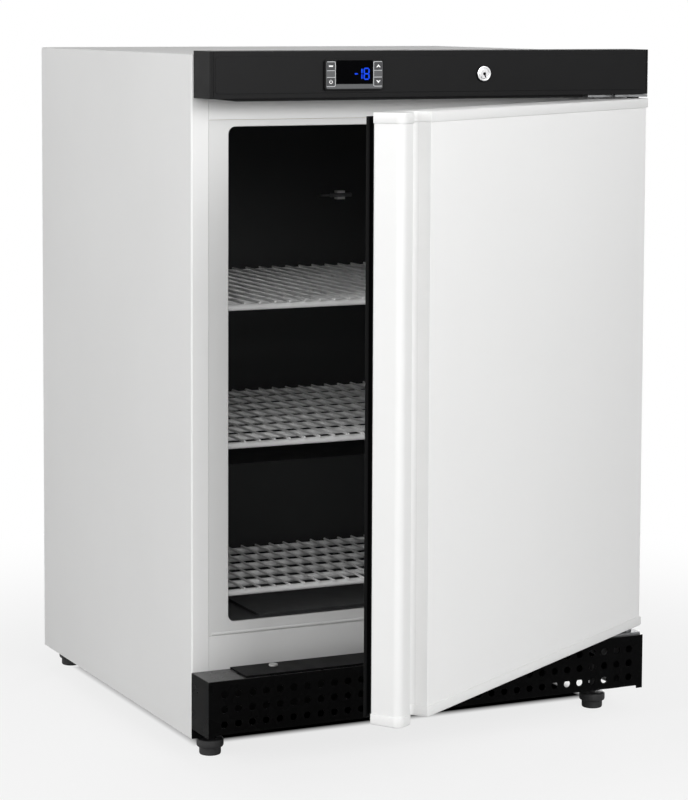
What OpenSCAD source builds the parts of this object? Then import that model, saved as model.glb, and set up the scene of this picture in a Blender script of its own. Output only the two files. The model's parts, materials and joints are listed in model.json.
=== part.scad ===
// Undercounter freezer with evaporator shelves and a right-hand hinged door.
// Built up in the cabinet's own frame: x across, y = 0 at the front flanges,
// +y to the back, z = 0 on the floor. The whole is then moved along y, so that
// the origin lies under the middle of its box.

/* [Cabinet] */
// Width over the side panels
cab_w = 600; // [570:1:660]
// Depth of the side panels
cab_d = 530; // [520:1:600]
// Height of the top panel above the floor
cab_top = 846; // [835:1:880]
// Height of the side panels' lower edges
cab_bottom = 26; // [22:1:32]
// Thickness of the outer steel sheet
sheet = 1; // [0.8:0.1:1.4]
// Outside radius where the steel wrapper is folded
fold_r = 2.5; // [2:0.5:5]
// Width of the wrapper's front flanges
flange_w = 22; // [18:1:24]
// How far fascia and plinth stand in front of the flanges
front_proj = 52; // [50:0.5:56]
// Open seam between neighbouring panels
seam = 0.3; // [0.2:0.1:0.6]
// Thickness of the front rails
rail_t = 2; // [1.6:0.1:3]

/* [Cavity] */
// Thickness of the side walls, from the cabinet's outside to the cavity
side_wall = 48; // [45:1:55]
// Height of the cavity floor
open_z0 = 164; // [158:1:168]
// Thickness of the top, from the cabinet's outside to the cavity
top_wall = 86; // [80:1:100]
// Corner radius of the opening
open_r = 9; // [6:1:16]
// Thickness of the back wall, from the cavity to the cabinet's back
back_wall = 60; // [55:1:75]
// Depth of the compressor bay
bay_d = 185; // [180:1:190]
// Height of the step over the compressor
step_z = 300; // [295:1:320]
// Wall of the liner
liner_t = 2; // [1.5:0.5:3]
// Width of the liner's rim above the opening
rim_top = 8; // [5:1:12]
// Width of the liner's rim below the opening
rim_bottom = 15; // [12:1:18]
// Diameter of the bead under the sill
bead_d = 4; // [3:0.5:5]
// Foam under the cavity floor
foam_floor = 42; // [36:1:44]
// Foam round the step
foam_step = 43; // [36:1:46]

/* [Evaporator shelves] */
// Height of the top shelf's front tube
shelf_top_z = 539.5; // [500:0.5:600]
// Height of the middle shelf's front tube
shelf_mid_z = 371; // [350:0.5:400]
// Height of the bottom shelf's front tube
shelf_low_z = 190; // [180:0.5:210]
// Distance of the front tubes behind the flanges
shelf_y = 40; // [36:1:48]
// Outside diameter of the evaporator tube
coil_d = 8; // [7:0.5:9]
// Diameter of the shelf wires
wire_d = 3; // [2.5:0.25:3.5]
// Spacing of the shelf wires
wire_pitch = 20; // [18:1:26]
// Gap from the tubes to the cavity's side walls
shelf_side = 6; // [5:0.5:8]

/* [Base and feet] */
// Height of the plinth's lower edge
plinth_z0 = 38; // [34:1:42]
// Height of the plinth's top
plinth_z1 = 107; // [104:1:110]
// Sheet of the plinth
plinth_t = 1.2; // [1:0.1:1.6]
// Diameter of the vent holes
vent_d = 9; // [7:0.5:10]
// Spacing of the vent holes
vent_pitch = 18; // [17:0.5:20]
// Rows of vent holes
vent_rows = 3; // [1:1:3]
// Thickness of the plate on top of the plinth
cover_t = 2; // [1.5:0.5:2.5]
// Height of the compressor deck
deck_z = 41; // [40:0.5:46]
// Sheet of the compressor deck
deck_t = 1.5; // [1.2:0.1:2]
// Diameter of the feet's collar
foot_d = 33; // [30:1:36]
// Diameter of the feet's base
foot_base_d = 26.5; // [24:0.5:28]
// Height of the feet's base
foot_base_h = 9.5; // [8:0.5:11]
// Height of the feet's collar
foot_collar_h = 10.5; // [8:0.5:11]
// Stud of the feet
stud_d = 8; // [8:1:10]
// Distance of the feet from the cabinet's side planes
foot_in_x = 32; // [30:1:45]
// Distance of the feet from the front flanges and from the back
foot_in_y = 19; // [19:1:30]

/* [Fascia] */
// Height of the fascia
fascia_h = 55.5; // [54:0.5:57]
// How far the fascia stands above the top panel
fascia_rise = 4; // [3:0.5:6]
// How far the fascia's ends are set in
fascia_inset = 3; // [2:0.5:5]
// Wall of the fascia
fascia_t = 2.5; // [2:0.25:3]
// Width of the border round the fascia's front field
border = 6; // [5:0.5:8]
// How far the front field is raised
field_rise = 0.8; // [0.5:0.1:1.2]
// Height of the lip under the fascia
lip_h = 3.2; // [2:0.2:3.6]

/* [Controller and lock] */
// Place of the controller across the front
ctrl_x = -113.7; // [-150:0.1:-80]
// Width of the controller's bezel
bezel_w = 78; // [77:0.5:82]
// Height of the controller's bezel
bezel_h = 36; // [35:0.5:38]
// Thickness of the bezel
bezel_t = 3.5; // [3.4:0.1:4.5]
// Width of the display window
window_w = 49; // [44:0.5:50]
// Height of the display window
window_h = 28; // [24:0.5:28]
// Height of the digits
digit_h = 14.5; // [12:0.5:15]
// Travel of the keys
key_travel = 0.8; // [0.4:0.1:0.8]
// Place of the lock across the front
lock_x = 61.8; // [40:0.1:90]
// Diameter of the lock's front ring
ring_d = 20; // [20:0.5:24]
// Diameter of the lock's barrel
barrel_d = 12; // [10:0.5:12.5]
// Reach of the lock's cam from its axis
cam_l = 37.5; // [36:0.5:39]

/* [Door] */
// Angle at which the door stands open
door_open = 32.3; // [0:0.1:100]
// Thickness of the door, without the gasket
door_t = 38; // [36:0.5:39]
// Gap between the door's back and the front flanges
door_gap = 13; // [11:0.5:14]
// Gap between the fascia and the top of the door
gap_top = 5.5; // [5.5:0.5:8]
// Gap between the plinth and the foot of the door
gap_bottom = 9; // [8:0.5:12]
// Gap from each side of the closed door to the cabinet's side plane
gap_side = 0.5; // [0.5:0.5:3]
// Height of the end caps
cap_h = 12; // [10:0.5:15]
// Wall of the end caps over the door's ends
cap_t = 2.5; // [2:0.25:3]
// How far the end caps stand proud of the skin
cap_proud = 1.2; // [1:0.1:2]
// Width of the grip along the free edge
grip_w = 24; // [20:1:28]
// Width of the finger groove
groove_w = 35.5; // [30:0.5:40]
// Depth of the finger groove
groove_d = 22; // [18:1:24]
// Fillet in the foot of the groove
groove_r = 7; // [4:0.5:9]
// Radius of the grip's outer edge
grip_r = 9; // [6:0.5:11]
// Radius of the grip's edge at the groove
grip_edge_r = 4; // [3:0.5:5]
// Wall of the grip's hollow section
grip_t = 2; // [1.5:0.1:2.5]
// Distance of the hinge axis from the door's end
pin_in = 17; // [16:0.5:22]
// Distance of the hinge axis behind the door's front
pin_back = 13; // [11:0.5:16]
// Diameter of the hinge pins
pin_d = 8; // [6:0.5:9]
// Length of the hinge bushes
bush_l = 14; // [12:0.5:18]
// Width of the magnetic gasket
gasket_w = 20; // [18:1:24]
// Gap left between the gasket and the flanges when closed
gasket_gap = 0.3; // [0.2:0.1:0.5]
// How far the door's inner pan reaches into the cavity
pan_reach = 14; // [10:1:18]
// Wall of the inner pan
pan_t = 1.5; // [1.2:0.1:2]

/* [Cooling unit] */
// Diameter of the compressor's pot
pot_d = 150; // [140:1:155]
// Height of the compressor's pot
pot_h = 155; // [145:1:160]
// Place of the compressor across the back
pot_x = 95; // [90:1:110]
// Width of the condenser
cond_w = 440; // [400:5:460]
// Height of the condenser's lowest tube
cond_z0 = 320; // [310:5:340]
// Distance of the condenser's highest tube below the top panel
cond_drop = 46; // [36:1:80]
// Diameter of the condenser's tube
cond_d = 5; // [4.5:0.5:6]
// Diameter of the condenser's wires
fin_d = 1.8; // [1.5:0.1:2.5]
// Spacing of the condenser's wires
fin_pitch = 18; // [16:1:30]
// Gap between back panel and condenser tube
cond_gap = 11.5; // [9:0.5:14]
// Diameter of the capillary tube
cap_tube_d = 3; // [2.5:0.25:4]
// Diameter of the control cable
cable_d = 6; // [5:0.5:7]

/* [Hidden] */
$fn = 48;
// radial play of a running fit, and play of a piece in its cut-out
run_fit = 0.05;
loose = 0.3;

hw = cab_w / 2;
in_hw = hw - sheet;
back_y = cab_d - sheet;
in_top = cab_top - sheet;
rail_hw = hw - flange_w - seam;
open_hw = hw - side_wall;
open_z1 = cab_top - top_wall;
cav_d = cab_d - back_wall;
rim_z0 = open_z0 - rim_bottom;
rim_z1 = open_z1 + rim_top;
foam_z0 = open_z0 - liner_t - foam_floor;
bay_y = cab_d - bay_d;
step_y = bay_y - liner_t - foam_step;
bay_z = step_z - liner_t - foam_step;

coil_x = open_hw - shelf_side - coil_d / 2;
coil_gap = coil_d + 6;
loop_x = coil_x - coil_gap;
outlet_x = loop_x - coil_gap;
bend_r = coil_d / 2 + 6;
shelf_back = cav_d - 30;
low_back = step_y - 30;
top_end = shelf_back + bend_r;
low_end = low_back + bend_r;
link_r = coil_d / 2 + 4;
link_z = step_z + 20;

fascia_z1 = cab_top + fascia_rise;
fascia_z0 = fascia_z1 - fascia_h;
fascia_hw = hw - fascia_inset;
fascia_zc = (fascia_z0 + fascia_z1) / 2 - 0.6;
border_y = -front_proj + field_rise;
wall_y = border_y + fascia_t;

door_z0 = plinth_z1 + gap_bottom;
door_z1 = fascia_z0 - gap_top;
door_x0 = -hw + gap_side;
door_x1 = hw - gap_side;
door_back = -door_gap;
door_front = door_back - door_t;
end_in = 2.5;
skin_x1 = door_x1 - end_in;
skin_y = door_front + cap_proud;
grip_x0 = door_x0 + cap_proud;
grip_x1 = grip_x0 + grip_w;
flank_x = grip_x1 + groove_w;
web_y = skin_y + groove_d;
rim_y = door_back - pan_t;
fill_z0 = door_z0 + cap_t;
fill_z1 = door_z1 - cap_t;
pan_in = 17;
pan_r = 12;
gasket_in = 5;
gasket_x0 = grip_x0 + 3.8;
pin_x = door_x1 - pin_in;
pin_y = door_front + pin_back;
bush_d = pin_d + 4;
bush_rim_d = bush_d + 3;
bush_rim_h = 1.6;
bush_play = 0.1;
bead_gap = 1;

plate_t = 3;
hinge_x0 = pin_x - 71.5;
hinge_x1 = pin_x + 14.5;
hinge_y0 = pin_y - 11;
top_plate_z = fascia_z0 - plate_t - 0.5;
screw_d = 4.8;
screw_l = 6;
head_d = 9;
head_h = 3;
stop_d = 7;
screw_in = 12;
screw_gap = 21;
top_screw_x = [for (i = [0 : 2]) hinge_x0 + screw_in + i * screw_gap];
top_screw_z = fascia_zc - 5;
foot_screw_x = hw - flange_w / 2 - 1;
foot_screw_z = [for (s = [30, 12]) plinth_z1 - s];
plug_x = -hw + 100;
plug_y = -16;
plug_d = 8;

bezel_y = -front_proj - bezel_t;
ctrl_hw = 35.3;
ctrl_hh = 14.3;
ctrl_y = -front_proj + 34;
key_w = 10.2;
key_h = 9.4;
key_t = 2.4;
key_proud = 0.6;
key_x = bezel_w / 2 - 7.8;
key_z_up = 10.4;
key_z_low = -8.2;
window_z = bezel_h / 2 - 1 - window_h / 2;
window_t = 1.8;
window_sunk = 0.2;
digit_t = 0.5;
stroke = 1.7;
lock_z = fascia_zc - 0.1;
lock_d = barrel_d + 6.6;
cam_y = -25;
cam_t = 3;
cam_w = 12;
slot_y0 = cam_y - 2;
slot_y1 = cam_y + cam_t + 2;

foot_x = hw - foot_in_x;
deck_top = deck_z + deck_t;
deck_front = 4;
deck_flange = 14;
nut_h = 6.5;

cond_hw = cond_w / 2;
riser_gap = 14;
riser_z = cond_z0 - 20;
tube_bend = 12;
fin_in = 15;
fin_over = 8;
cond_x_in = cond_hw + riser_gap;
cond_y = cab_d + cond_gap + cond_d / 2;
cond_runs = 11;
cond_z1 = cab_top - cond_drop;
cond_step = (cond_z1 - cond_z0) / (cond_runs - 1);
unit_back = cond_y + cond_d / 2 + fin_d - 0.1;
bracket_x = cond_hw - 20;
bracket_z = [cond_z0 + cond_step, cond_z1 - cond_step];
mount_h = 16;
pot_y = back_y - pot_d / 2 - 14;
pot_z = deck_top + mount_h;
pot_round = 30;
mount_t = 3;
bolt_d = 6;
grommet_d = 22;
neck_d = 14;
grommet_top_d = 18;
grommet_top_h = 3.5;
bolt_hex = 11.5;
bolt_head_h = 4;
bolt_nut_h = 5;
bolt_over = 12;
discharge_h = 92;
relay_t = 36;
relay_hw = 30;
relay_z0 = pot_z + 45;
relay_h = 65;
mount_at = [for (sx = [-1, 1], sy = [-1, 1]) [pot_x + sx * (pot_d / 2 + 8), pot_y + sy * 50]];
drier_d = 20;
drier_neck_d = 8;
drier_cone = 10;
drier_x = pot_x - pot_d / 2 - 50;
drier_y = back_y - 29;
drier_z0 = deck_top + 82;
drier_z1 = drier_z0 + 96;
outlet_z = drier_z0 - 14;
box_x = -hw + 95;
box_hw = 40;
box_l = 60;
box_h = 50;
gland_d = 16;
gland_l = 12;
gland_x = 15;
gland_z = 22;
box_y = back_y - 78;
box_top = deck_top + box_h;
cable_x = box_x - 20;
cable_y = back_y - 29;
probe_d = 6;
probe_l = 32;
lead_d = 3;
lead_bend = 5;
clip_w = 12;
lead_in = 12;
probe_x = 100;
probe_z = shelf_top_z + 100;
probe_y = cav_d - 8;
lead_x = probe_x - 12;
cable_in = 20;
cable_front = -9;

capillary_y = cab_d + 5.5;
capillary_z = drier_z1 + 18;
capillary_bend = 5;
suction_bend = 10;
cable_bend = 8;

// routes of the tubes and of the cable
capillary_route = [
    [drier_x, drier_y, drier_z1], [drier_x, drier_y, capillary_z],
    [drier_x, capillary_y, capillary_z], [-coil_x, capillary_y, capillary_z],
    [-coil_x, capillary_y, shelf_top_z], [-coil_x, top_end, shelf_top_z]];
suction_route = [
    [-outlet_x, low_end, shelf_low_z], [-outlet_x, pot_y - 20, shelf_low_z],
    [-outlet_x, pot_y - 20, pot_z + pot_h + 22], [pot_x + 15, pot_y - 20, pot_z + pot_h + 22],
    [pot_x + 15, pot_y - 20, pot_z + pot_h]];
cable_route = [
    [ctrl_x - cable_in, ctrl_y, fascia_zc], [ctrl_x - cable_in, cable_front, fascia_zc],
    [cable_x, cable_front, fascia_zc], [cable_x, cable_y, fascia_zc], [cable_x, cable_y, box_top]];

// the door's foremost point at rest is on the rounded edge of the grip's cap
cap_grip_r = grip_r + cap_proud;
grip_cx = door_x0 + cap_grip_r - pin_x;
grip_cy = door_front + cap_grip_r - pin_y;
door_reach = pin_y + grip_cx * sin(door_open) + grip_cy * cos(door_open) - cap_grip_r;
origin_y = (min(door_reach, bezel_y - key_proud) + unit_back) / 2;

// Shapes that the pieces share

module block(x0, x1, y0, y1, z0, z1) {
    translate([x0, y0, z0]) cube([x1 - x0, y1 - y0, z1 - z0]);
}

module area(x0, x1, y0, y1) {
    translate([x0, y0]) square([x1 - x0, y1 - y0]);
}

// rectangle with four round corners
module round_rect(x0, x1, y0, y1, r) {
    area(x0 + r, x1 - r, y0, y1);
    area(x0, x1, y0 + r, y1 - r);
    for (x = [x0 + r, x1 - r], y = [y0 + r, y1 - r]) translate([x, y]) circle(r);
}

// rectangle with only its two far corners round
module arch(x0, x1, y0, y1, r) {
    area(x0, x1, y0, y1 - r);
    area(x0 + r, x1 - r, y0, y1);
    for (x = [x0 + r, x1 - r]) translate([x, y1 - r]) circle(r);
}

// fills an inner corner at x, y towards the side signs sx and sy
module fillet(x, y, sx, sy, r) {
    difference() {
        translate([x + min(sx, 0) * r, y + min(sy, 0) * r]) square(r);
        translate([x + sx * r, y + sy * r]) circle(r);
    }
}

// an outline drawn in x and z, standing from y0 to y1
module upright(y0, y1) {
    translate([0, y1, 0]) rotate([90, 0, 0]) linear_extrude(y1 - y0) children();
}

// an outline drawn in x and y, standing from z0 to z1
module raised(z0, z1) {
    translate([0, 0, z0]) linear_extrude(z1 - z0) children();
}

module rod_x(y, z, x0, x1, d) {
    translate([x0, y, z]) rotate([0, 90, 0]) cylinder(d = d, h = x1 - x0);
}

module rod_y(x, z, y0, y1, d) {
    translate([x, y0, z]) rotate([-90, 0, 0]) cylinder(d = d, h = y1 - y0);
}

module rod_z(x, y, z0, z1, d) {
    translate([x, y, z0]) cylinder(d = d, h = z1 - z0);
}

function unit(v) = v / norm(v);
function across(w) = unit(abs(w[2]) < 0.9 ? cross([0, 0, 1], w) : cross([1, 0, 0], w));

// stands its children on point p with the three given axes
module set_at(p, u, v, w) {
    multmatrix([
        [u[0], v[0], w[0], p[0]],
        [u[1], v[1], w[1], p[1]],
        [u[2], v[2], w[2], p[2]],
        [0, 0, 0, 1]]) children();
}

// how much of a straight run the bend at point i takes
function leg(pts, i, r) =
    (i == 0 || i == len(pts) - 1) ? 0 :
    r * tan(acos(unit(pts[i] - pts[i - 1]) * unit(pts[i + 1] - pts[i])) / 2);

// tube of diameter d along straight runs with round bends of radius r
module pipe(pts, d, r) {
    for (i = [0 : len(pts) - 2]) {
        w = unit(pts[i + 1] - pts[i]);
        a = leg(pts, i, r);
        run = norm(pts[i + 1] - pts[i]) - a - leg(pts, i + 1, r);
        u = across(w);
        if (run > 0.02) set_at(pts[i] + w * a, u, cross(w, u), w) cylinder(d = d, h = run);
    }
    for (i = [1 : 1 : len(pts) - 2]) {
        w0 = unit(pts[i] - pts[i - 1]);
        w1 = unit(pts[i + 1] - pts[i]);
        m = unit(w1 - w0 * (w0 * w1));
        set_at(pts[i] - w0 * leg(pts, i, r) + m * r, -m, w0, cross(-m, w0))
            rotate_extrude(angle = acos(w0 * w1)) translate([r, 0]) circle(d = d);
    }
}

// Cabinet body

// the wrapper's solid form, set in by a distance and run on past back and foot
module wrapper(inset, over) {
    r = max(fold_r - inset, 0.4);
    intersection() {
        upright(inset, cab_d + over)
            arch(-hw + inset, hw - inset, cab_bottom - over, cab_top - inset, r);
        raised(cab_bottom - over, cab_top)
            mirror([0, 1]) arch(-hw + inset, hw - inset, -cab_d - over, -inset, r);
    }
}

module top_screw_holes(y1, d) {
    for (x = top_screw_x) rod_y(x, top_screw_z, -plate_t - 1, y1, d);
}

// one folded sheet of white steel: both sides, the top and the front flanges
module outer_shell() {
    color("gainsboro") difference() {
        wrapper(0, 0);
        wrapper(sheet, 1);
        block(-hw + flange_w, hw - flange_w, -1, sheet + 1, cab_bottom - 1, in_top);
        for (z = foot_screw_z) rod_y(foot_screw_x, z, -1, sheet + 1, screw_d + loose);
    }
}

module upper_front_rail() {
    color("whitesmoke") difference() {
        block(-rail_hw, rail_hw, 0, rail_t, rim_z1 + seam, in_top);
        top_screw_holes(rail_t + 1, screw_d + loose);
        rod_y(cable_x, fascia_zc, -1, rail_t + 1, cable_d + 2 * loose);
    }
}

module lower_front_rail() {
    color("whitesmoke")
        block(-rail_hw, rail_hw, 0, rail_t, plinth_z1 - 8, rim_z0 - seam);
}

// inside form of the cavity, grown by a wall
module cavity(grow, y0) {
    upright(y0, step_y + grow) round_rect(
        -open_hw - grow, open_hw + grow, open_z0 - grow, open_z1 + grow, open_r + grow);
    upright(y0, cav_d + grow) round_rect(
        -open_hw - grow, open_hw + grow, step_z - grow, open_z1 + grow, open_r + grow);
}

// what passes through the walls of the cavity
module wall_holes() {
    pipe(capillary_route, cap_tube_d + 2 * loose, capillary_bend);
    pipe(suction_route, coil_d + 2 * loose, suction_bend);
    rod_y(lead_x, probe_z, probe_y, cav_d + lead_in + loose, lead_d + 2 * loose);
}

// thermoformed liner with its front rim, a bead under the sill and a raised floor field
module liner() {
    pad_hw = open_hw - 46;
    color("dimgray") difference() {
        union() {
            cavity(liner_t, 0);
            block(-rail_hw, rail_hw, 0, rail_t, rim_z0, rim_z1);
            // the bead lies between the sides of the closed door's gasket
            rod_x(0.8, rim_z0 + 2, gasket_x0 + gasket_w + bead_gap,
                pin_x - gasket_w - bead_gap, bead_d);
        }
        difference() {
            cavity(0, -3);
            raised(open_z0 - 1, open_z0 + 3)
                round_rect(-pad_hw, pad_hw, 12, step_y - 12, 10);
        }
        wall_holes();
    }
}

module foam_insulation() {
    color("khaki") difference() {
        intersection() {
            wrapper(sheet, 0);
            block(-hw, hw, rail_t + 0.8, back_y, foam_z0, cab_top);
        }
        block(-hw, hw, bay_y, cab_d + 1, foam_z0 - 1, bay_z);
        cavity(liner_t, -1);
        wall_holes();
        pipe(cable_route, cable_d + 2 * loose, cable_bend);
        top_screw_holes(screw_l + loose, screw_d + loose);
    }
}

module back_panel() {
    color("silver") difference() {
        intersection() {
            wrapper(sheet, 0);
            block(-hw, hw, back_y, cab_d, bay_z - sheet, cab_top);
        }
        pipe(capillary_route, cap_tube_d + 2 * loose, capillary_bend);
    }
}

// stepped sheet under the foam and round the compressor bay
module bottom_panel() {
    color("silver") difference() {
        union() {
            block(-in_hw, in_hw, rail_t, bay_y + sheet, foam_z0 - sheet, foam_z0);
            block(-in_hw, in_hw, bay_y, bay_y + sheet, foam_z0 - sheet, bay_z);
            block(-in_hw, in_hw, bay_y, back_y, bay_z - sheet, bay_z);
        }
        pipe(suction_route, coil_d + 2 * loose, suction_bend);
        pipe(cable_route, cable_d + 2 * loose, cable_bend);
    }
}

// Evaporator: each shelf is one tube bent to and fro, with wires welded across it

function shelf_step(depth, runs) = (depth - shelf_y) / (runs - 1);

module shelf(z, depth, runs) {
    step = shelf_step(depth, runs);
    loops = [for (i = [0 : runs - 1], s = [0, 1])
        [(i + s) % 2 == 0 ? -loop_x : coil_x, shelf_y + i * step, z]];
    turns = [for (i = [1 : len(loops) - 2]) loops[i]];
    route = concat(
        [[-coil_x, depth + bend_r, z], [-coil_x, shelf_y, z]], turns,
        [[-outlet_x, depth, z], [-outlet_x, depth + bend_r, z]]);
    // every wire crosses straight runs, clear of the bends at both ends
    first = bend_r + 2 - loop_x;
    n = floor((coil_x - bend_r - 2 - first) / wire_pitch);
    color("white") {
        pipe(route, coil_d, bend_r);
        for (i = [0 : n])
            rod_y(first + i * wire_pitch, z + (coil_d + wire_d) / 2 - 0.4,
                shelf_y - 6, depth + 4, wire_d);
    }
}

module evaporator_shelf_top() shelf(shelf_top_z, shelf_back, 8);
module evaporator_shelf_middle() shelf(shelf_mid_z, shelf_back, 8);
module evaporator_shelf_bottom() shelf(shelf_low_z, low_back, 6);

// the tubes that join the shelves at the back of the cavity
module evaporator_links() {
    y1 = top_end + link_r;
    y3 = low_end + link_r;
    half = (shelf_top_z + shelf_mid_z) / 2;
    color("white") {
        pipe([[-outlet_x, top_end, shelf_top_z], [-outlet_x, y1, shelf_top_z],
            [-outlet_x, y1, half], [-coil_x, y1, half],
            [-coil_x, y1, shelf_mid_z], [-coil_x, top_end, shelf_mid_z]], coil_d, link_r);
        pipe([[-outlet_x, top_end, shelf_mid_z], [-outlet_x, y1, shelf_mid_z],
            [-outlet_x, y1, link_z], [-outlet_x, y3 + 40, link_z],
            [-coil_x, y3 + 40, link_z], [-coil_x, y3, link_z],
            [-coil_x, y3, shelf_low_z], [-coil_x, low_end, shelf_low_z]], coil_d, link_r);
    }
}

// saddle on a side wall that a tube rests in
module holder(s, z, y) {
    w = shelf_side + coil_d + 2;
    difference() {
        translate([s * (open_hw - w / 2), y, z - 5]) cube([w, 14, 8], center = true);
        rod_y(s * coil_x, z, y - 10, y + 10, coil_d + 2 * run_fit);
    }
}

module shelf_holders() {
    rows = [
        [shelf_top_z, shelf_back, 8], [shelf_mid_z, shelf_back, 8], [shelf_low_z, low_back, 6]];
    color("white") for (row = rows, s = [-1, 1]) {
        half = shelf_step(row[1], row[2]) / 2;
        for (y = [shelf_y + half, row[1] - half]) holder(s, row[0], y);
    }
}

module temperature_probe() {
    color("dimgray") {
        rod_x(probe_y, probe_z, probe_x, probe_x + probe_l, probe_d);
        pipe([[probe_x + 1, probe_y, probe_z], [lead_x, probe_y, probe_z],
            [lead_x, cav_d + lead_in, probe_z]], lead_d, lead_bend);
    }
}

module probe_clip() {
    color("white") difference() {
        block(probe_x + probe_l / 2 - clip_w / 2, probe_x + probe_l / 2 + clip_w / 2,
            probe_y - 1.5, cav_d, probe_z - probe_d, probe_z + probe_d);
        rod_x(probe_y, probe_z, probe_x, probe_x + probe_l, probe_d + 2 * run_fit);
    }
}

// Base: deck, plinth and feet

module compressor_deck() {
    color("silver") difference() {
        union() {
            block(-in_hw, in_hw, deck_front, back_y, deck_z, deck_top);
            for (x = [-in_hw, in_hw - deck_t])
                block(x, x + deck_t, deck_front, back_y, deck_z, deck_z + deck_flange);
        }
        for (x = [-foot_x, foot_x], y = [foot_in_y, cab_d - foot_in_y])
            rod_z(x, y, deck_z - 1, deck_top + 1, stud_d + 2 * loose);
        for (p = mount_at) rod_z(p[0], p[1], deck_z - 1, deck_top + 1, bolt_d + loose);
    }
}

module plinth_grille() {
    cols = floor((cab_w - 2 * gap_side - 22) / (2 * vent_pitch) + 0.5);
    color("black") difference() {
        block(-hw + gap_side, hw - gap_side, -front_proj, 0, plinth_z0, plinth_z1);
        block(-hw + gap_side + plinth_t, hw - gap_side - plinth_t, -front_proj + plinth_t, 1,
            plinth_z0 - 1, plinth_z1 - plinth_t);
        block(-hw + gap_side + 9, hw - gap_side - 9, -front_proj - 1, -front_proj + 5,
            plinth_z0 - 1, plinth_z0 + 3.5);
        for (i = [-cols : cols - 1], k = [0 : vent_rows - 1])
            rod_y((i + 0.5) * vent_pitch, plinth_z1 - 17 - k * vent_pitch,
                -front_proj - 1, -front_proj + plinth_t + 1, vent_d);
        block(foot_screw_x - 26 - loose, hinge_x1 + loose, -plate_t - loose, 1,
            plinth_z1 - 5, plinth_z1 + 1);
        rod_z(plug_x, plug_y, plinth_z1 - 5, plinth_z1 + 1, plug_d + loose);
    }
}

module plinth_cover() {
    color("black") difference() {
        block(-hw + 50, hinge_x0 - seam, -front_proj + 3, -seam, plinth_z1, plinth_z1 + cover_t);
        rod_z(plug_x, plug_y, plinth_z1 - 1, plinth_z1 + cover_t + 1, plug_d + loose);
    }
}

module plinth_plug() {
    color("white") {
        rod_z(plug_x, plug_y, plinth_z1 + cover_t, plinth_z1 + cover_t + 2.5, plug_d + 3);
        rod_z(plug_x, plug_y, plinth_z1 - 4, plinth_z1 + cover_t, plug_d);
    }
}

// hexagon nuts of the feet, on top of the deck
module foot_nuts() {
    color("silver") for (x = [-foot_x, foot_x], y = [foot_in_y, cab_d - foot_in_y])
        difference() {
            translate([x, y, deck_top]) cylinder(d = stud_d + 9, h = nut_h, $fn = 6);
            rod_z(x, y, deck_z, deck_top + nut_h + 1, stud_d + 2 * run_fit);
        }
}

module foot(x, y) {
    collar_z = foot_base_h + foot_collar_h;
    color("dimgray") {
        rod_z(x, y, 0, foot_base_h, foot_base_d);
        rod_z(x, y, foot_base_h, collar_z, foot_d);
        rod_z(x, y, collar_z, deck_top + nut_h + 12, stud_d);
    }
}

module foot_front_left() foot(-foot_x, foot_in_y);
module foot_front_right() foot(foot_x, foot_in_y);
module foot_rear_left() foot(-foot_x, cab_d - foot_in_y);
module foot_rear_right() foot(foot_x, cab_d - foot_in_y);

// Fascia with the controller and the lock

// how far to the side the turning cam reaches at height z
function cam_reach(z) = sqrt(pow(cam_l, 2) + pow(cam_w / 2, 2) - pow(lock_z - z, 2)) + 2;

module cam_slot(z0, z1, z_wide) {
    block(lock_x - cam_w / 2 - 2, lock_x + cam_reach(z_wide), slot_y0, slot_y1, z0, z1);
}

module fascia() {
    color("black") difference() {
        union() {
            raised(fascia_z0, fascia_z1) mirror([0, 1])
                arch(-fascia_hw, fascia_hw, 0, -border_y, 3);
            upright(-front_proj, wall_y) round_rect(-fascia_hw + border, fascia_hw - border,
                fascia_z0 + border, fascia_z1 - border, 4);
            block(-fascia_hw + 17, hinge_x0 - 6, -front_proj + 6, -front_proj + 10,
                fascia_z0 - lip_h, fascia_z0 + 1);
        }
        raised(fascia_z0 + fascia_t, fascia_z1 - fascia_t) mirror([0, 1])
            arch(-fascia_hw + fascia_t, fascia_hw - fascia_t, -1, -wall_y, 1);
        block(ctrl_x - ctrl_hw - loose, ctrl_x + ctrl_hw + loose, -front_proj - 1, wall_y + 1,
            fascia_zc - ctrl_hh - loose, fascia_zc + ctrl_hh + loose);
        rod_y(lock_x, lock_z, -front_proj - 1, wall_y + 1, lock_d + 2 * loose);
        cam_slot(fascia_z0 - 1, fascia_z0 + fascia_t + 1, fascia_z0 + fascia_t);
        block(hinge_x0 - loose, hinge_x1 - 20 + loose, -plate_t - loose, 1,
            fascia_z0 - 1, fascia_z0 + fascia_t + 1);
    }
}

module controller_body() {
    color("black") block(ctrl_x - ctrl_hw, ctrl_x + ctrl_hw, -front_proj, ctrl_y,
        fascia_zc - ctrl_hh, fascia_zc + ctrl_hh);
}

// outline of a key at its place, grown by g
module key_outline(sx, dz, g) {
    x = ctrl_x + sx * key_x;
    z = fascia_zc + dz;
    round_rect(x - key_w / 2 - g, x + key_w / 2 + g, z - key_h / 2 - g, z + key_h / 2 + g, 1.5);
}

module window_outline(g) {
    z = fascia_zc + window_z;
    round_rect(ctrl_x - window_w / 2 - g, ctrl_x + window_w / 2 + g,
        z - window_h / 2 - g, z + window_h / 2 + g, 2.5);
}

module controller_bezel() {
    color("gray") difference() {
        upright(bezel_y, -front_proj) round_rect(ctrl_x - bezel_w / 2, ctrl_x + bezel_w / 2,
            fascia_zc - bezel_h / 2, fascia_zc + bezel_h / 2, 3);
        upright(bezel_y - 1, bezel_y + window_sunk + window_t) window_outline(0.1);
        for (sx = [-1, 1], dz = [key_z_low, key_z_up])
            upright(bezel_y - 1, bezel_y - key_proud + key_t + key_travel + 0.1)
                key_outline(sx, dz, loose);
    }
}

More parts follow.
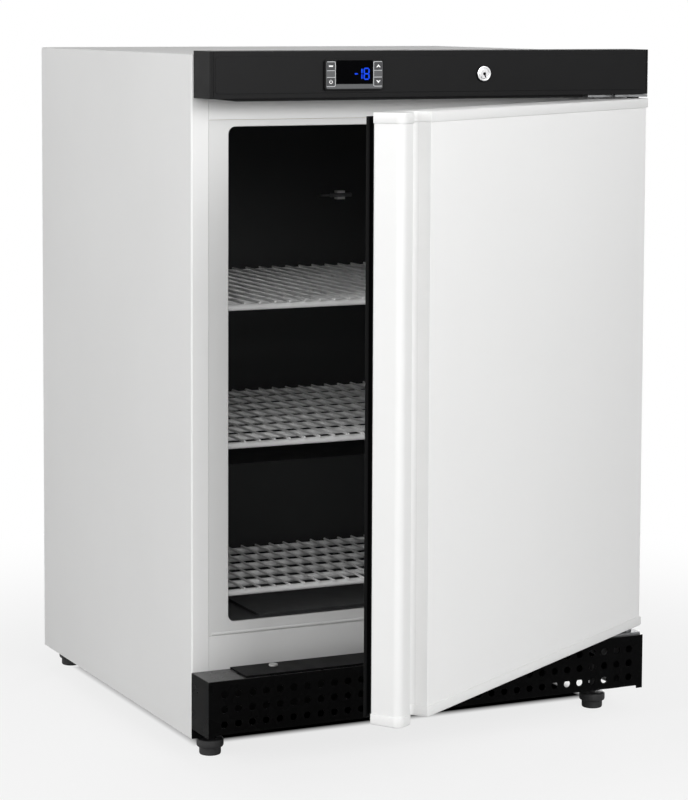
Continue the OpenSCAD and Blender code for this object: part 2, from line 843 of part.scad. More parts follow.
// minus sign, one and eight of the display, in plain segments
module digit_shapes() {
    z = fascia_zc + 1.1;
    area(ctrl_x, ctrl_x + 4.9, z - stroke / 2, z + stroke / 2);
    area(ctrl_x + 9, ctrl_x + 9 + stroke, z - digit_h / 2, z + digit_h / 2);
    difference() {
        area(ctrl_x + 12, ctrl_x + 20, z - digit_h / 2, z + digit_h / 2);
        area(ctrl_x + 12 + stroke, ctrl_x + 20 - stroke, z - digit_h / 2 + stroke, z - stroke / 2);
        area(ctrl_x + 12 + stroke, ctrl_x + 20 - stroke, z + stroke / 2, z + digit_h / 2 - stroke);
    }
}

module display_window() {
    y = bezel_y + window_sunk;
    color("black") difference() {
        upright(y, y + window_t) window_outline(0);
        upright(y - 1, y + digit_t) digit_shapes();
    }
}

module display_digits() {
    y = bezel_y + window_sunk;
    color("royalblue") upright(y, y + digit_t) digit_shapes();
}

module key(sx, dz) {
    color("gray") upright(bezel_y - key_proud, bezel_y - key_proud + key_t)
        key_outline(sx, dz, 0);
}

module key_upper_left() key(-1, key_z_up);
module key_lower_left() key(-1, key_z_low);
module key_upper_right() key(1, key_z_up);
module key_lower_right() key(1, key_z_low);

module lock_body() {
    color("silver") difference() {
        union() {
            rod_y(lock_x, lock_z, -front_proj - 2.5, -front_proj, ring_d);
            rod_y(lock_x, lock_z, -front_proj, cam_y - 2, lock_d);
        }
        rod_y(lock_x, lock_z, -front_proj - 5, cam_y, barrel_d + 2 * run_fit);
    }
}

module lock_nut() {
    color("silver") difference() {
        translate([lock_x, wall_y, lock_z]) rotate([-90, 0, 0])
            cylinder(d = lock_d + 10, h = 4, $fn = 6);
        rod_y(lock_x, lock_z, wall_y - 1, wall_y + 5, lock_d + 2 * run_fit);
    }
}

module lock_barrel() {
    color("silver") difference() {
        rod_y(lock_x, lock_z, -front_proj - 3, cam_y, barrel_d);
        block(lock_x - 0.8, lock_x + 0.8, -front_proj - 4, -front_proj + 5,
            lock_z - 3.5, lock_z + 3.5);
    }
}

// it points sideways when unlocked and turns down into the door's slot
module lock_cam() {
    color("silver") {
        block(lock_x - 7, lock_x + cam_l, cam_y, cam_y + cam_t,
            lock_z - cam_w / 2, lock_z + cam_w / 2);
        rod_y(lock_x, lock_z, cam_y + cam_t, cam_y + cam_t + 2, 8);
    }
}

// Door hinges on the cabinet

module top_hinge_bracket() {
    color("silver") difference() {
        union() {
            block(hinge_x0, hinge_x1, hinge_y0, 0, top_plate_z, top_plate_z + plate_t);
            block(hinge_x0, hinge_x1 - 20, -plate_t, 0, top_plate_z, fascia_z1 - 12);
        }
        block(hinge_x0 + 24, hinge_x0 + 39, hinge_y0 - 1, hinge_y0 + 6,
            top_plate_z - 1, top_plate_z + plate_t + 1);
        rod_z(pin_x, pin_y, top_plate_z - 1, top_plate_z + plate_t + 1, pin_d + 2 * run_fit);
        top_screw_holes(1, screw_d + loose);
    }
}

module bottom_hinge_bracket() {
    color("silver") difference() {
        union() {
            block(hinge_x0, hinge_x1, hinge_y0, 0, plinth_z1, plinth_z1 + plate_t);
            block(foot_screw_x - 26, hinge_x1, -plate_t, 0, plinth_z1 - 41, plinth_z1 + plate_t);
        }
        rod_z(pin_x, pin_y, plinth_z1 - 1, plinth_z1 + plate_t + 1, pin_d + 2 * run_fit);
        for (z = foot_screw_z) rod_y(foot_screw_x, z, -plate_t - 1, 1, screw_d + loose);
    }
}

module hinge_pins() {
    plate_z = plinth_z1 + plate_t;
    color("silver") {
        rod_z(pin_x, pin_y, door_z1 - bush_l + 0.5, top_plate_z + plate_t, pin_d);
        rod_z(pin_x, pin_y, plinth_z1, door_z0 + bush_l - 0.5, pin_d);
        rod_z(pin_x, pin_y, plate_z, door_z0 - bush_rim_h - bush_play, bush_rim_d - 1);
    }
}

module hinge_screws() {
    color("silver") {
        for (x = top_screw_x) {
            rod_y(x, top_screw_z, -plate_t - head_h, -plate_t, head_d);
            rod_y(x, top_screw_z, -plate_t, screw_l, screw_d);
        }
        for (z = foot_screw_z) {
            rod_y(foot_screw_x, z, -plate_t - head_h, -plate_t, head_d);
            rod_y(foot_screw_x, z, -plate_t, screw_l, screw_d);
        }
        rod_z(hinge_x0 + screw_in - 1, pin_y, door_z1 + 0.6, top_plate_z, stop_d);
    }
}

// Door, drawn closed and then turned about its hinge axis

module door_place() {
    translate([pin_x, pin_y, 0]) rotate([0, 0, door_open]) translate([-pin_x, -pin_y, 0])
        children();
}

// section of the grip: its outer front edge and its groove edge are round
module grip_section(g, y1) {
    ra = grip_r + g;
    rb = grip_edge_r + g;
    x0 = grip_x0 - g;
    x1 = grip_x1 + g;
    y0 = skin_y - g;
    area(x0, x1, y0 + ra, y1);
    area(x0 + ra, x1 - rb, y0, y0 + ra + 0.5);
    area(x1 - rb - 0.5, x1, y0 + rb, y0 + ra + 0.5);
    translate([x0 + ra, y0 + ra]) circle(ra);
    translate([x1 - rb, y0 + rb]) circle(rb);
}

// section of the grip and of the groove beside it
module handle_section(g, y1) {
    grip_section(g, y1);
    area(grip_x1, flank_x, web_y - g, y1);
    fillet(grip_x1 + g, web_y - g, 1, -1, groove_r - g);
    fillet(flank_x - g, web_y - g, -1, -1, groove_r - g);
}

// section of the whole door, grown by g
module door_section(g, x1, y1) {
    handle_section(g, y1);
    area(flank_x - g, x1, skin_y - g, y1);
}

module door_skin() {
    color("whitesmoke") door_place() difference() {
        block(flank_x, skin_x1, skin_y, rim_y, fill_z0, fill_z1);
        block(flank_x + sheet, skin_x1 - sheet, skin_y + sheet, rim_y + 1,
            fill_z0 - 1, fill_z1 + 1);
    }
}

// hollow section along the free edge, from end cap to end cap
module door_grip() {
    color("whitesmoke") door_place() raised(fill_z0, fill_z1) difference() {
        handle_section(0, rim_y);
        grip_section(-grip_t, rim_y - grip_t);
        area(grip_x1, flank_x - grip_t, web_y + grip_t, rim_y - grip_t);
    }
}

// form of the inner pan's raised part, set in by a wall
module pan_form(inset, y0) {
    upright(y0, pan_reach - inset) round_rect(
        -open_hw + pan_in + inset, open_hw - pan_in - inset,
        open_z0 + pan_in - 3 + inset, open_z1 - pan_in + 3 - inset, pan_r - inset);
}

module door_foam() {
    color("khaki") door_place() difference() {
        union() {
            block(flank_x + sheet, skin_x1 - sheet, skin_y + sheet, rim_y, fill_z0, fill_z1);
            pan_form(pan_t, rim_y - 1);
        }
        rod_z(pin_x, pin_y, fill_z0 - 1, door_z0 + bush_l, bush_d + bush_play);
        rod_z(pin_x, pin_y, door_z1 - bush_l, fill_z1 + 1, bush_d + bush_play);
        cam_slot(lock_z - cam_l - 4, fill_z1 + 1, door_z1);
    }
}

module door_inner_pan() {
    color("white") door_place() difference() {
        union() {
            block(grip_x0, skin_x1, rim_y, door_back, fill_z0, fill_z1);
            pan_form(0, rim_y);
        }
        pan_form(pan_t, rim_y - 1);
    }
}

// moulded cap with a skirt that follows the skin, the groove and the grip
module end_cap(z_end, s) {
    z_in = z_end - s * cap_t;
    z_edge = z_end - s * cap_h;
    door_place() difference() {
        raised(min(z_end, z_edge), max(z_end, z_edge)) door_section(cap_proud, door_x1, door_back);
        raised(min(z_in, z_edge - s), max(z_in, z_edge - s))
            door_section(0.1, skin_x1 + 0.1, door_back + 1);
        rod_z(pin_x, pin_y, z_end - 20, z_end + 20, bush_d + bush_play);
        if (s > 0) cam_slot(z_edge, z_end + 1, door_z1);
    }
}

module door_top_cap() color("whitesmoke") end_cap(door_z1, 1);
module door_bottom_cap() color("whitesmoke") end_cap(door_z0, -1);

// magnetic gasket: foot, bellows and sealing face
module door_gasket() {
    z0 = door_z0 + gasket_in;
    z1 = door_z1 - gasket_in;
    color("dimgray") door_place()
        for (row = [[-door_gap, -door_gap + 3.5, 0], [-door_gap + 3.5, -5, 4], [-5, -gasket_gap, 0]])
            upright(row[0], row[1]) difference() {
                area(gasket_x0 + row[2], pin_x - row[2], z0 + row[2], z1 - row[2]);
                area(gasket_x0 + gasket_w - row[2], pin_x - gasket_w + row[2],
                    z0 + gasket_w - row[2], z1 - gasket_w + row[2]);
            }
}

module hinge_bushes() {
    color("black") door_place() difference() {
        union() {
            rod_z(pin_x, pin_y, door_z1 - bush_l, door_z1, bush_d);
            rod_z(pin_x, pin_y, door_z1, door_z1 + bush_rim_h, bush_rim_d);
            rod_z(pin_x, pin_y, door_z0, door_z0 + bush_l, bush_d);
            rod_z(pin_x, pin_y, door_z0 - bush_rim_h, door_z0, bush_rim_d);
        }
        rod_z(pin_x, pin_y, door_z0 - 5, door_z1 + 5, pin_d + 2 * run_fit);
    }
}

// Cooling unit in the bay and on the back

module compressor() {
    r = pot_d / 2;
    color("black") difference() {
        union() {
            translate([pot_x, pot_y, pot_z]) rotate_extrude() {
                square([r - pot_round, pot_h]);
                translate([0, pot_round]) square([r, pot_h - 2 * pot_round]);
                for (z = [pot_round, pot_h - pot_round]) translate([r - pot_round, z]) circle(pot_round);
            }
            block(pot_x - r - 20, pot_x + r + 20, pot_y - 62, pot_y + 62, pot_z - mount_t, pot_z + 0.5);
        }
        for (p = mount_at)
            rod_z(p[0], p[1], pot_z - mount_t - 1, pot_z + 1, neck_d + 2 * run_fit);
    }
}

module compressor_grommets() {
    color("dimgray") for (p = mount_at) difference() {
        union() {
            rod_z(p[0], p[1], deck_top, pot_z - mount_t, grommet_d);
            rod_z(p[0], p[1], deck_top, pot_z + 0.5, neck_d);
            rod_z(p[0], p[1], pot_z + 0.5, pot_z + grommet_top_h, grommet_top_d);
        }
        rod_z(p[0], p[1], deck_top - 1, pot_z + grommet_top_h + 1, bolt_d + loose);
    }
}

module compressor_bolts() {
    color("silver") for (p = mount_at) {
        translate([p[0], p[1], deck_z - bolt_head_h])
            cylinder(d = bolt_hex, h = bolt_head_h, $fn = 6);
        rod_z(p[0], p[1], deck_z, pot_z + bolt_over, bolt_d);
        translate([p[0], p[1], pot_z + grommet_top_h])
            cylinder(d = bolt_hex, h = bolt_nut_h, $fn = 6);
    }
}

// cover of the starter, against the side of the pot
module relay_cover() {
    color("black") difference() {
        block(pot_x - pot_d / 2 - relay_t, pot_x - pot_d / 2 + 20,
            pot_y - relay_hw, pot_y + relay_hw, relay_z0, relay_z0 + relay_h);
        rod_z(pot_x, pot_y, pot_z, pot_z + pot_h, pot_d);
    }
}

// one tube up the side, to and fro down the back and on to the drier
module condenser() {
    loops = [for (i = [0 : cond_runs - 1], s = [0, 1])
        [(i + s) % 2 == 0 ? cond_hw : -cond_hw, cond_y, cond_z1 - i * cond_step]];
    turns = [for (i = [1 : len(loops) - 2]) loops[i]];
    route = concat(
        [[cond_x_in, cond_y, riser_z], [cond_x_in, cond_y, cond_z1]], turns,
        [[-cond_hw, cond_y, cond_z0], [-cond_hw, cond_y, outlet_z],
            [drier_x, cond_y, outlet_z], [drier_x, drier_y, outlet_z],
            [drier_x, drier_y, drier_z0]]);
    n = floor((cond_hw - fin_in) / fin_pitch);
    color("black") {
        pipe(route, cond_d, tube_bend);
        for (i = [-n : n])
            rod_z(i * fin_pitch, cond_y + (cond_d + fin_d) / 2 - 0.1,
                cond_z0 - fin_over, cond_z1 + fin_over, fin_d);
    }
}

module condenser_brackets() {
    color("black") for (x = [-bracket_x, bracket_x], z = bracket_z) difference() {
        union() {
            block(x - 8, x + 8, cab_d, cab_d + 1.5, z - 12, z + 12);
            block(x - 8, x + 8, cab_d, cond_y, z - 4, z + 4);
        }
        rod_x(cond_y, z, x - 20, x + 20, cond_d + 2 * run_fit);
    }
}

module filter_drier() {
    color("peru") {
        rod_z(drier_x, drier_y, drier_z0 + drier_cone, drier_z1 - drier_cone, drier_d);
        translate([drier_x, drier_y, drier_z0])
            cylinder(d1 = drier_neck_d, d2 = drier_d, h = drier_cone);
        translate([drier_x, drier_y, drier_z1 - drier_cone])
            cylinder(d1 = drier_d, d2 = drier_neck_d, h = drier_cone);
    }
}

module discharge_tube() {
    z = pot_z + discharge_h;
    color("peru") pipe([
        [pot_x + pot_d / 2, pot_y, z], [cond_x_in, pot_y, z],
        [cond_x_in, cond_y, z], [cond_x_in, cond_y, riser_z]], cond_d, tube_bend);
}

module suction_tube() color("peru") pipe(suction_route, coil_d, suction_bend);
module capillary_tube() color("peru") pipe(capillary_route, cap_tube_d, capillary_bend);

// box with the mains terminals and the gland of the mains cord
module terminal_box() {
    color("gray") {
        block(box_x - box_hw, box_x + box_hw, box_y, box_y + box_l, deck_top, box_top);
        rod_y(box_x + gland_x, deck_top + gland_z, box_y + box_l, box_y + box_l + gland_l,
            gland_d);
    }
}

module control_cable() color("dimgray") pipe(cable_route, cable_d, cable_bend);

module set_origin() translate([0, -origin_y, 0]) children();

set_origin() outer_shell();
set_origin() upper_front_rail();
set_origin() lower_front_rail();
set_origin() liner();
set_origin() foam_insulation();
set_origin() back_panel();
set_origin() bottom_panel();
set_origin() compressor_deck();
set_origin() plinth_grille();
set_origin() plinth_cover();
set_origin() plinth_plug();
set_origin() fascia();
set_origin() controller_body();
set_origin() controller_bezel();
set_origin() display_window();
set_origin() display_digits();
set_origin() key_upper_left();
set_origin() key_lower_left();
set_origin() key_upper_right();
set_origin() key_lower_right();
set_origin() lock_body();
set_origin() lock_nut();
set_origin() lock_barrel();
set_origin() lock_cam();
set_origin() evaporator_shelf_top();
set_origin() evaporator_shelf_middle();
set_origin() evaporator_shelf_bottom();
set_origin() evaporator_links();
set_origin() shelf_holders();
set_origin() temperature_probe();
set_origin() probe_clip();
set_origin() compressor();
set_origin() compressor_grommets();
set_origin() compressor_bolts();
set_origin() relay_cover();
set_origin() condenser();
set_origin() condenser_brackets();
set_origin() filter_drier();
set_origin() discharge_tube();
set_origin() suction_tube();
set_origin() capillary_tube();
set_origin() terminal_box();
set_origin() control_cable();
set_origin() top_hinge_bracket();
set_origin() bottom_hinge_bracket();
set_origin() hinge_pins();
set_origin() hinge_screws();
set_origin() foot_nuts();
set_origin() foot_front_left();
set_origin() foot_front_right();
set_origin() foot_rear_left();
set_origin() foot_rear_right();
set_origin() door_skin();
set_origin() door_grip();
set_origin() door_foam();
set_origin() door_inner_pan();
set_origin() door_top_cap();
set_origin() door_bottom_cap();
set_origin() door_gasket();
set_origin() hinge_bushes();
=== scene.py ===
import json
import math

import bmesh
import bpy
from mathutils import Matrix, Vector

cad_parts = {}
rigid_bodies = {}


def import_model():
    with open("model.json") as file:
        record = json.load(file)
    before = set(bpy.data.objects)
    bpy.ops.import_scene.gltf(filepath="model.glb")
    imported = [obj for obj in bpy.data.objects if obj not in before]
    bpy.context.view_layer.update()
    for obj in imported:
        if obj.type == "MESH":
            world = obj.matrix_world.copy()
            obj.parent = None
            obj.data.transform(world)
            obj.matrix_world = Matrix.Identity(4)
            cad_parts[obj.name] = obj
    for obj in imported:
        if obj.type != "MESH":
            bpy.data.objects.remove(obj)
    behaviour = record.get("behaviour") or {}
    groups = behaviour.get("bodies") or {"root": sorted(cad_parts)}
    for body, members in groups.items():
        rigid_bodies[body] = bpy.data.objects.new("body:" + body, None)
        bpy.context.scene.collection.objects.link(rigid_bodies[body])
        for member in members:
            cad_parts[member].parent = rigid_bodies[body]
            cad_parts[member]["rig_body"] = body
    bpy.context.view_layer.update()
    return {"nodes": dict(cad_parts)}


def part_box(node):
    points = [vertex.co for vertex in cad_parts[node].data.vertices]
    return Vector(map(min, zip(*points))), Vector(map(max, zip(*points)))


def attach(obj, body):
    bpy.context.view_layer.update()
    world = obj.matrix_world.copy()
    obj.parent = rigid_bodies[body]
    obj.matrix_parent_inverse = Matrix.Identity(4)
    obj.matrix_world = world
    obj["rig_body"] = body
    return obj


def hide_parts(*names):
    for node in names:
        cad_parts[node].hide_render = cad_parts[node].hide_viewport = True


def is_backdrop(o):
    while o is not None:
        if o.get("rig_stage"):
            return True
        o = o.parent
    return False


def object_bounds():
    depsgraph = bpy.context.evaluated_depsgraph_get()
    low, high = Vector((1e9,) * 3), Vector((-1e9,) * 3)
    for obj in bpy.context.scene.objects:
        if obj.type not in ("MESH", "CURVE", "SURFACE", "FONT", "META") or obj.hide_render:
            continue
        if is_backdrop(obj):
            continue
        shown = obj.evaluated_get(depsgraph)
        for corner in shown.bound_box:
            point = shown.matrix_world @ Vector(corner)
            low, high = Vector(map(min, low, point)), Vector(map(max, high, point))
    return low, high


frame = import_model()
cad = frame["nodes"]


# Camera: a long lens at the height of the cabinet's top, left of its front, tilted a little
# and shifted, so that the upright edges stay nearly parallel.
def stand(name, data):
    placed = bpy.data.objects.new(name, data)
    bpy.context.scene.collection.objects.link(placed)
    return placed


focal_pixels, picture_height, film_width = 2700.9, 800, 36
viewpoint = (-1.51055, -3.03679, 0.90236)
yaw, pitch, roll = 0.43926, -0.08631, 0.00358
lens = bpy.data.cameras.new("Camera")
lens.lens = focal_pixels * film_width / picture_height
lens.shift_x = 0.0268
lens.shift_y = -0.2
lens.clip_end = 60
camera = stand("Camera", lens)
ahead = Vector((math.sin(yaw) * math.cos(pitch), math.cos(yaw) * math.cos(pitch), math.sin(pitch)))
aside = Vector((math.cos(yaw), -math.sin(yaw), 0))
upward = aside.cross(ahead)
turned = aside * math.cos(roll) + upward * math.sin(roll)
risen = upward * math.cos(roll) - aside * math.sin(roll)
camera.matrix_world = (Matrix.Translation(viewpoint)
                       @ Matrix((turned, risen, -ahead)).transposed().to_4x4())
bpy.context.scene.camera = camera


# Steel wrapper and front rails: sheet steel, folded, then powder coated in white. The coat
# has a fine orange peel and rounds the edges. Behind the plinth the flanges are painted
# black as painted shade.
def noise(tree, place, scale, detail=2.0, rough=0.5):
    node = tree.nodes.new("ShaderNodeTexNoise")
    node.inputs["Scale"].default_value = scale
    node.inputs["Detail"].default_value = detail
    node.inputs["Roughness"].default_value = rough
    tree.links.new(place, node.inputs["Vector"])
    return node.outputs["Fac"]


def spread(tree, value, low, high, start=0.3, end=0.7):
    node = tree.nodes.new("ShaderNodeMapRange")
    for name, amount in (("From Min", start), ("From Max", end), ("To Min", low),
                         ("To Max", high)):
        node.inputs[name].default_value = amount
    tree.links.new(value, node.inputs["Value"])
    return node.outputs["Result"]


def two_tones(tree, value, first, second):
    node = tree.nodes.new("ShaderNodeValToRGB")
    node.color_ramp.elements[0].position = 0.3
    node.color_ramp.elements[0].color = (*first, 1)
    node.color_ramp.elements[1].position = 0.7
    node.color_ramp.elements[1].color = (*second, 1)
    tree.links.new(value, node.inputs["Fac"])
    return node.outputs["Color"]


def relief(tree, value, depth, under=None):
    node = tree.nodes.new("ShaderNodeBump")
    node.inputs["Strength"].default_value = 1.0
    node.inputs["Distance"].default_value = depth
    tree.links.new(value, node.inputs["Height"])
    if under:
        tree.links.new(under, node.inputs["Normal"])
    return node.outputs["Normal"]


def opened(made):
    tree = made.node_tree
    return (tree, tree.nodes["Principled BSDF"].inputs,
            tree.nodes["Texture Coordinate"].outputs["Object"])


def blank(name):
    made = bpy.data.materials.new(name)
    made.use_nodes = True
    made.node_tree.nodes.new("ShaderNodeTexCoord")
    return made, *opened(made)


def coated(name, colour, rough, peel=450, depth=0.00001, drift=0.012, specular=0.5):
    made, tree, inputs, place = blank(name)
    broad, patchy = noise(tree, place, 5, 4), noise(tree, place, 38, 5)
    tree.links.new(two_tones(tree, broad, [c * (1 - drift) for c in colour],
                             [min(c * (1 + drift), 1) for c in colour]), inputs["Base Color"])
    tree.links.new(spread(tree, patchy, rough - 0.03, rough + 0.03), inputs["Roughness"])
    tree.links.new(relief(tree, noise(tree, place, peel, 2), depth), inputs["Normal"])
    inputs["Specular IOR Level"].default_value = specular
    return made


def rounded(node, finish, radius, steps=2, reshape=None):
    mesh = cad[node].data.copy()
    mesh.materials.clear()
    mesh.materials.append(finish)
    for extra in [a.name for a in mesh.attributes if a.name in ("custom_normal", "sharp_edge")]:
        mesh.attributes.remove(mesh.attributes[extra])
    solid = bmesh.new()
    solid.from_mesh(mesh)
    bmesh.ops.remove_doubles(solid, verts=solid.verts, dist=2e-6)
    bmesh.ops.dissolve_limit(solid, angle_limit=math.radians(0.5), verts=solid.verts,
                             edges=solid.edges)
    if reshape:
        reshape(solid)
    for edge in solid.edges:
        edge.smooth = True
    for face in solid.faces:
        face.smooth = True
    solid.to_mesh(mesh)
    solid.free()
    piece = stand(node + "_made", mesh)
    edge_round = piece.modifiers.new("Rounded edges", "BEVEL")
    edge_round.width = radius
    edge_round.segments = steps
    edge_round.angle_limit = math.radians(32)
    edge_round.miter_outer = "MITER_SHARP"
    piece.modifiers.new("Even shading", "WEIGHTED_NORMAL").keep_sharp = True
    return piece


def converted(piece):
    view = bpy.context.evaluated_depsgraph_get()
    mesh = bpy.data.meshes.new_from_object(piece.evaluated_get(view), depsgraph=view)
    piece.modifiers.clear()
    piece.data = mesh
    return piece


def settle(piece, node):
    converted(piece)
    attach(piece, cad[node]["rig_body"])
    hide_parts(node)


cabinet_white = coated("cabinet white powder coat", (0.79, 0.79, 0.785), 0.5, specular=0.25)
front_white = coated("front rail white", (0.76, 0.76, 0.755), 0.45, specular=0.3)
# Near black sheet, used as painted shade behind the plinth and under the cabinet.
shade_black_sheet = coated("sheet painted black as shade", (0.006, 0.006, 0.0064), 0.75, 300, 0.00003, 0.1, 0.01)


# Painted shade: the wrapper's faces below the plinth's top and in front of the flange's back get
# the near black sheet.
def flange_painted_shade(solid):
    plinth_top, flange_back, inside = 0.106, -0.066, 0.2995
    for point, normal in (((0, 0, plinth_top), (0, 0, 1)), ((0, flange_back, 0), (0, 1, 0))):
        bmesh.ops.bisect_plane(solid, geom=solid.verts[:] + solid.edges[:] + solid.faces[:],
                               plane_co=point, plane_no=normal)
    for face in solid.faces:
        x, y, z = face.calc_center_median()
        if z < plinth_top and abs(x) < inside and y < flange_back:
            face.material_index = 1


wrapper = rounded("outer_shell", cabinet_white, 0.0005, reshape=flange_painted_shade)
wrapper.data.materials.append(shade_black_sheet)
settle(wrapper, "outer_shell")
for node in ("upper_front_rail", "lower_front_rail"):
    settle(rounded(node, front_white, 0.0009), node)


# Liner: thermoformed in one piece of polystyrene sheet. Its front rim is white like the
# cabinet, the inside is dark grey as painted shade, satin, and the forming leaves soft
# edges.
def liner_with_painted_shade():
    made = coated("liner polystyrene with painted shade", (0.04, 0.041, 0.042), 0.45, 160, 0.00003, 0.05, 0.15)
    tree, inputs, place = opened(made)
    # Painted shade: the liner is white only at its rim and turns dark grey just behind it, for the
    # shade in the cavity.
    rim_white, rim_end, shade_start = (0.68, 0.68, 0.675, 1), 0.003, 0.0045
    split = tree.nodes.new("ShaderNodeSeparateXYZ")
    tree.links.new(place, split.inputs[0])
    blend = tree.nodes.new("ShaderNodeMix")
    blend.data_type = "RGBA"
    tree.links.new(spread(tree, split.outputs["Y"], 0, 1, cad_front + rim_end,
                          cad_front + shade_start), blend.inputs["Factor"])
    blend.inputs["A"].default_value = rim_white
    tree.links.new(inputs["Base Color"].links[0].from_socket, blend.inputs["B"])
    tree.links.new(blend.outputs["Result"], inputs["Base Color"])
    return made


def soft_opening(solid):
    reach_x, low_z, high_z = 0.2525, 0.1635, 0.7605
    rim = [edge for edge in solid.edges
           if all(abs(v.co.y - cad_front) < 5e-5 and abs(v.co.x) < reach_x
                  and low_z < v.co.z < high_z for v in edge.verts)]
    bmesh.ops.bevel(solid, geom=rim, offset=0.0018, segments=5, profile=0.5,
                    affect="EDGES", clamp_overlap=True)


# The rails' front face, which the depths of all pieces are counted from.
cad_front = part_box("upper_front_rail")[0].y
origin_y = -cad_front
settle(rounded("liner", liner_with_painted_shade(), 0.0007, 3, reshape=soft_opening), "liner")


# Insulation: polyurethane foam, filled in between wrapper and liner. It is cream coloured,
# with fine closed cells and a wavy skin, and shows only where the sheets are taken off.
def cells(tree, place, scale):
    node = tree.nodes.new("ShaderNodeTexVoronoi")
    node.inputs["Scale"].default_value = scale
    tree.links.new(place, node.inputs["Vector"])
    return node.outputs


def deepened(made, value, depth):
    tree, inputs, place = opened(made)
    under = inputs["Normal"].links[0].from_socket
    tree.links.new(relief(tree, value, depth, under), inputs["Normal"])
    return made


def foamed(name, colour):
    made = coated(name, colour, 0.85, 220, 0.0002, 0.12)
    tree, inputs, place = opened(made)
    return deepened(made, cells(tree, place, 900)["Distance"], 0.0003)


foam = foamed("cream polyurethane foam", (0.68, 0.58, 0.36))
for node in ("foam_insulation", "door_foam"):
    cad[node].data.materials[0] = foam


# Sheets behind and below: a zinc plated back panel, whose plating shows pale spangles and
# faint rolling lines, and under it the stepped bottom panel and the deck, painted black as
# painted shade.
def zinc(name, colour, rough, spangle=60):
    made, tree, inputs, place = blank(name)
    inputs["Metallic"].default_value = 1.0
    grey = tree.nodes.new("ShaderNodeSeparateColor")
    tree.links.new(cells(tree, place, spangle)["Color"], grey.inputs["Color"])
    tree.links.new(two_tones(tree, grey.outputs["Red"], [c * 0.88 for c in colour], colour),
                   inputs["Base Color"])
    tree.links.new(spread(tree, grey.outputs["Green"], rough - 0.06, rough + 0.08),
                   inputs["Roughness"])
    stretched = tree.nodes.new("ShaderNodeMapping")
    stretched.inputs["Scale"].default_value = (4, 4, 900)
    tree.links.new(place, stretched.inputs["Vector"])
    tree.links.new(relief(tree, noise(tree, stretched.outputs["Vector"], 1.0), 0.00001),
                   inputs["Normal"])
    return made


zinc_sheet = zinc("spangled zinc sheet", (0.62, 0.64, 0.66), 0.42)
# Painted shade: the bottom panel and the deck are coloured near black.
for node, finish in (("back_panel", zinc_sheet), ("bottom_panel", shade_black_sheet),
                     ("compressor_deck", shade_black_sheet)):
    settle(rounded(node, finish, 0.0003), node)


# Evaporator: each shelf is one steel tube, bent to and fro, with wires welded across it and
# dipped white. Two more tubes join the shelves at the back of the cavity.
def bent(points, radius, steps=8):
    path = [Vector(points[0])]
    for before, corner, after in zip(points, points[1:], points[2:]):
        before, corner, after = Vector(before), Vector(corner), Vector(after)
        into, away = (corner - before).normalized(), (after - corner).normalized()
        middle = corner + (away - into) * radius
        for i in range(steps + 1):
            t = math.pi / 2 * i / steps
            spot = middle + (into * math.sin(t) - away * math.cos(t)) * radius
            if (spot - path[-1]).length > 1e-5:
                path.append(spot)
    if (Vector(points[-1]) - path[-1]).length > 1e-5:
        path.append(Vector(points[-1]))
    return path


def in_row(points):
    return [(x / 1000, y / 1000 - origin_y, z / 1000) for x, y, z in points]


def grower(name, sockets):
    tree = bpy.data.node_groups.new(name, "GeometryNodeTree")
    tree.is_modifier = True
    for label, kind in sockets:
        tree.interface.new_socket(label, in_out="INPUT", socket_type="NodeSocket" + kind)
    tree.interface.new_socket("Piece", in_out="OUTPUT", socket_type="NodeSocketGeometry")
    given, result = tree.nodes.new("NodeGroupInput"), tree.nodes.new("NodeGroupOutput")
    return tree, tree.nodes.new, tree.links.new, given.outputs, result


def grow(piece, title, tree, **sizes):
    made = piece.modifiers.new(title, "NODES")
    made.node_group = tree
    for socket in tree.interface.items_tree:
        key = socket.name.lower().replace(" ", "_")
        if socket.in_out == "INPUT" and key in sizes:
            made[socket.identifier] = sizes[key]


def combined(tree, operation, first, second):
    node = tree.nodes.new("ShaderNodeMath")
    node.operation = operation
    tree.links.new(first, node.inputs[0])
    if isinstance(second, float):
        node.inputs[1].default_value = second
    else:
        tree.links.new(second, node.inputs[1])
    return node.outputs[0]


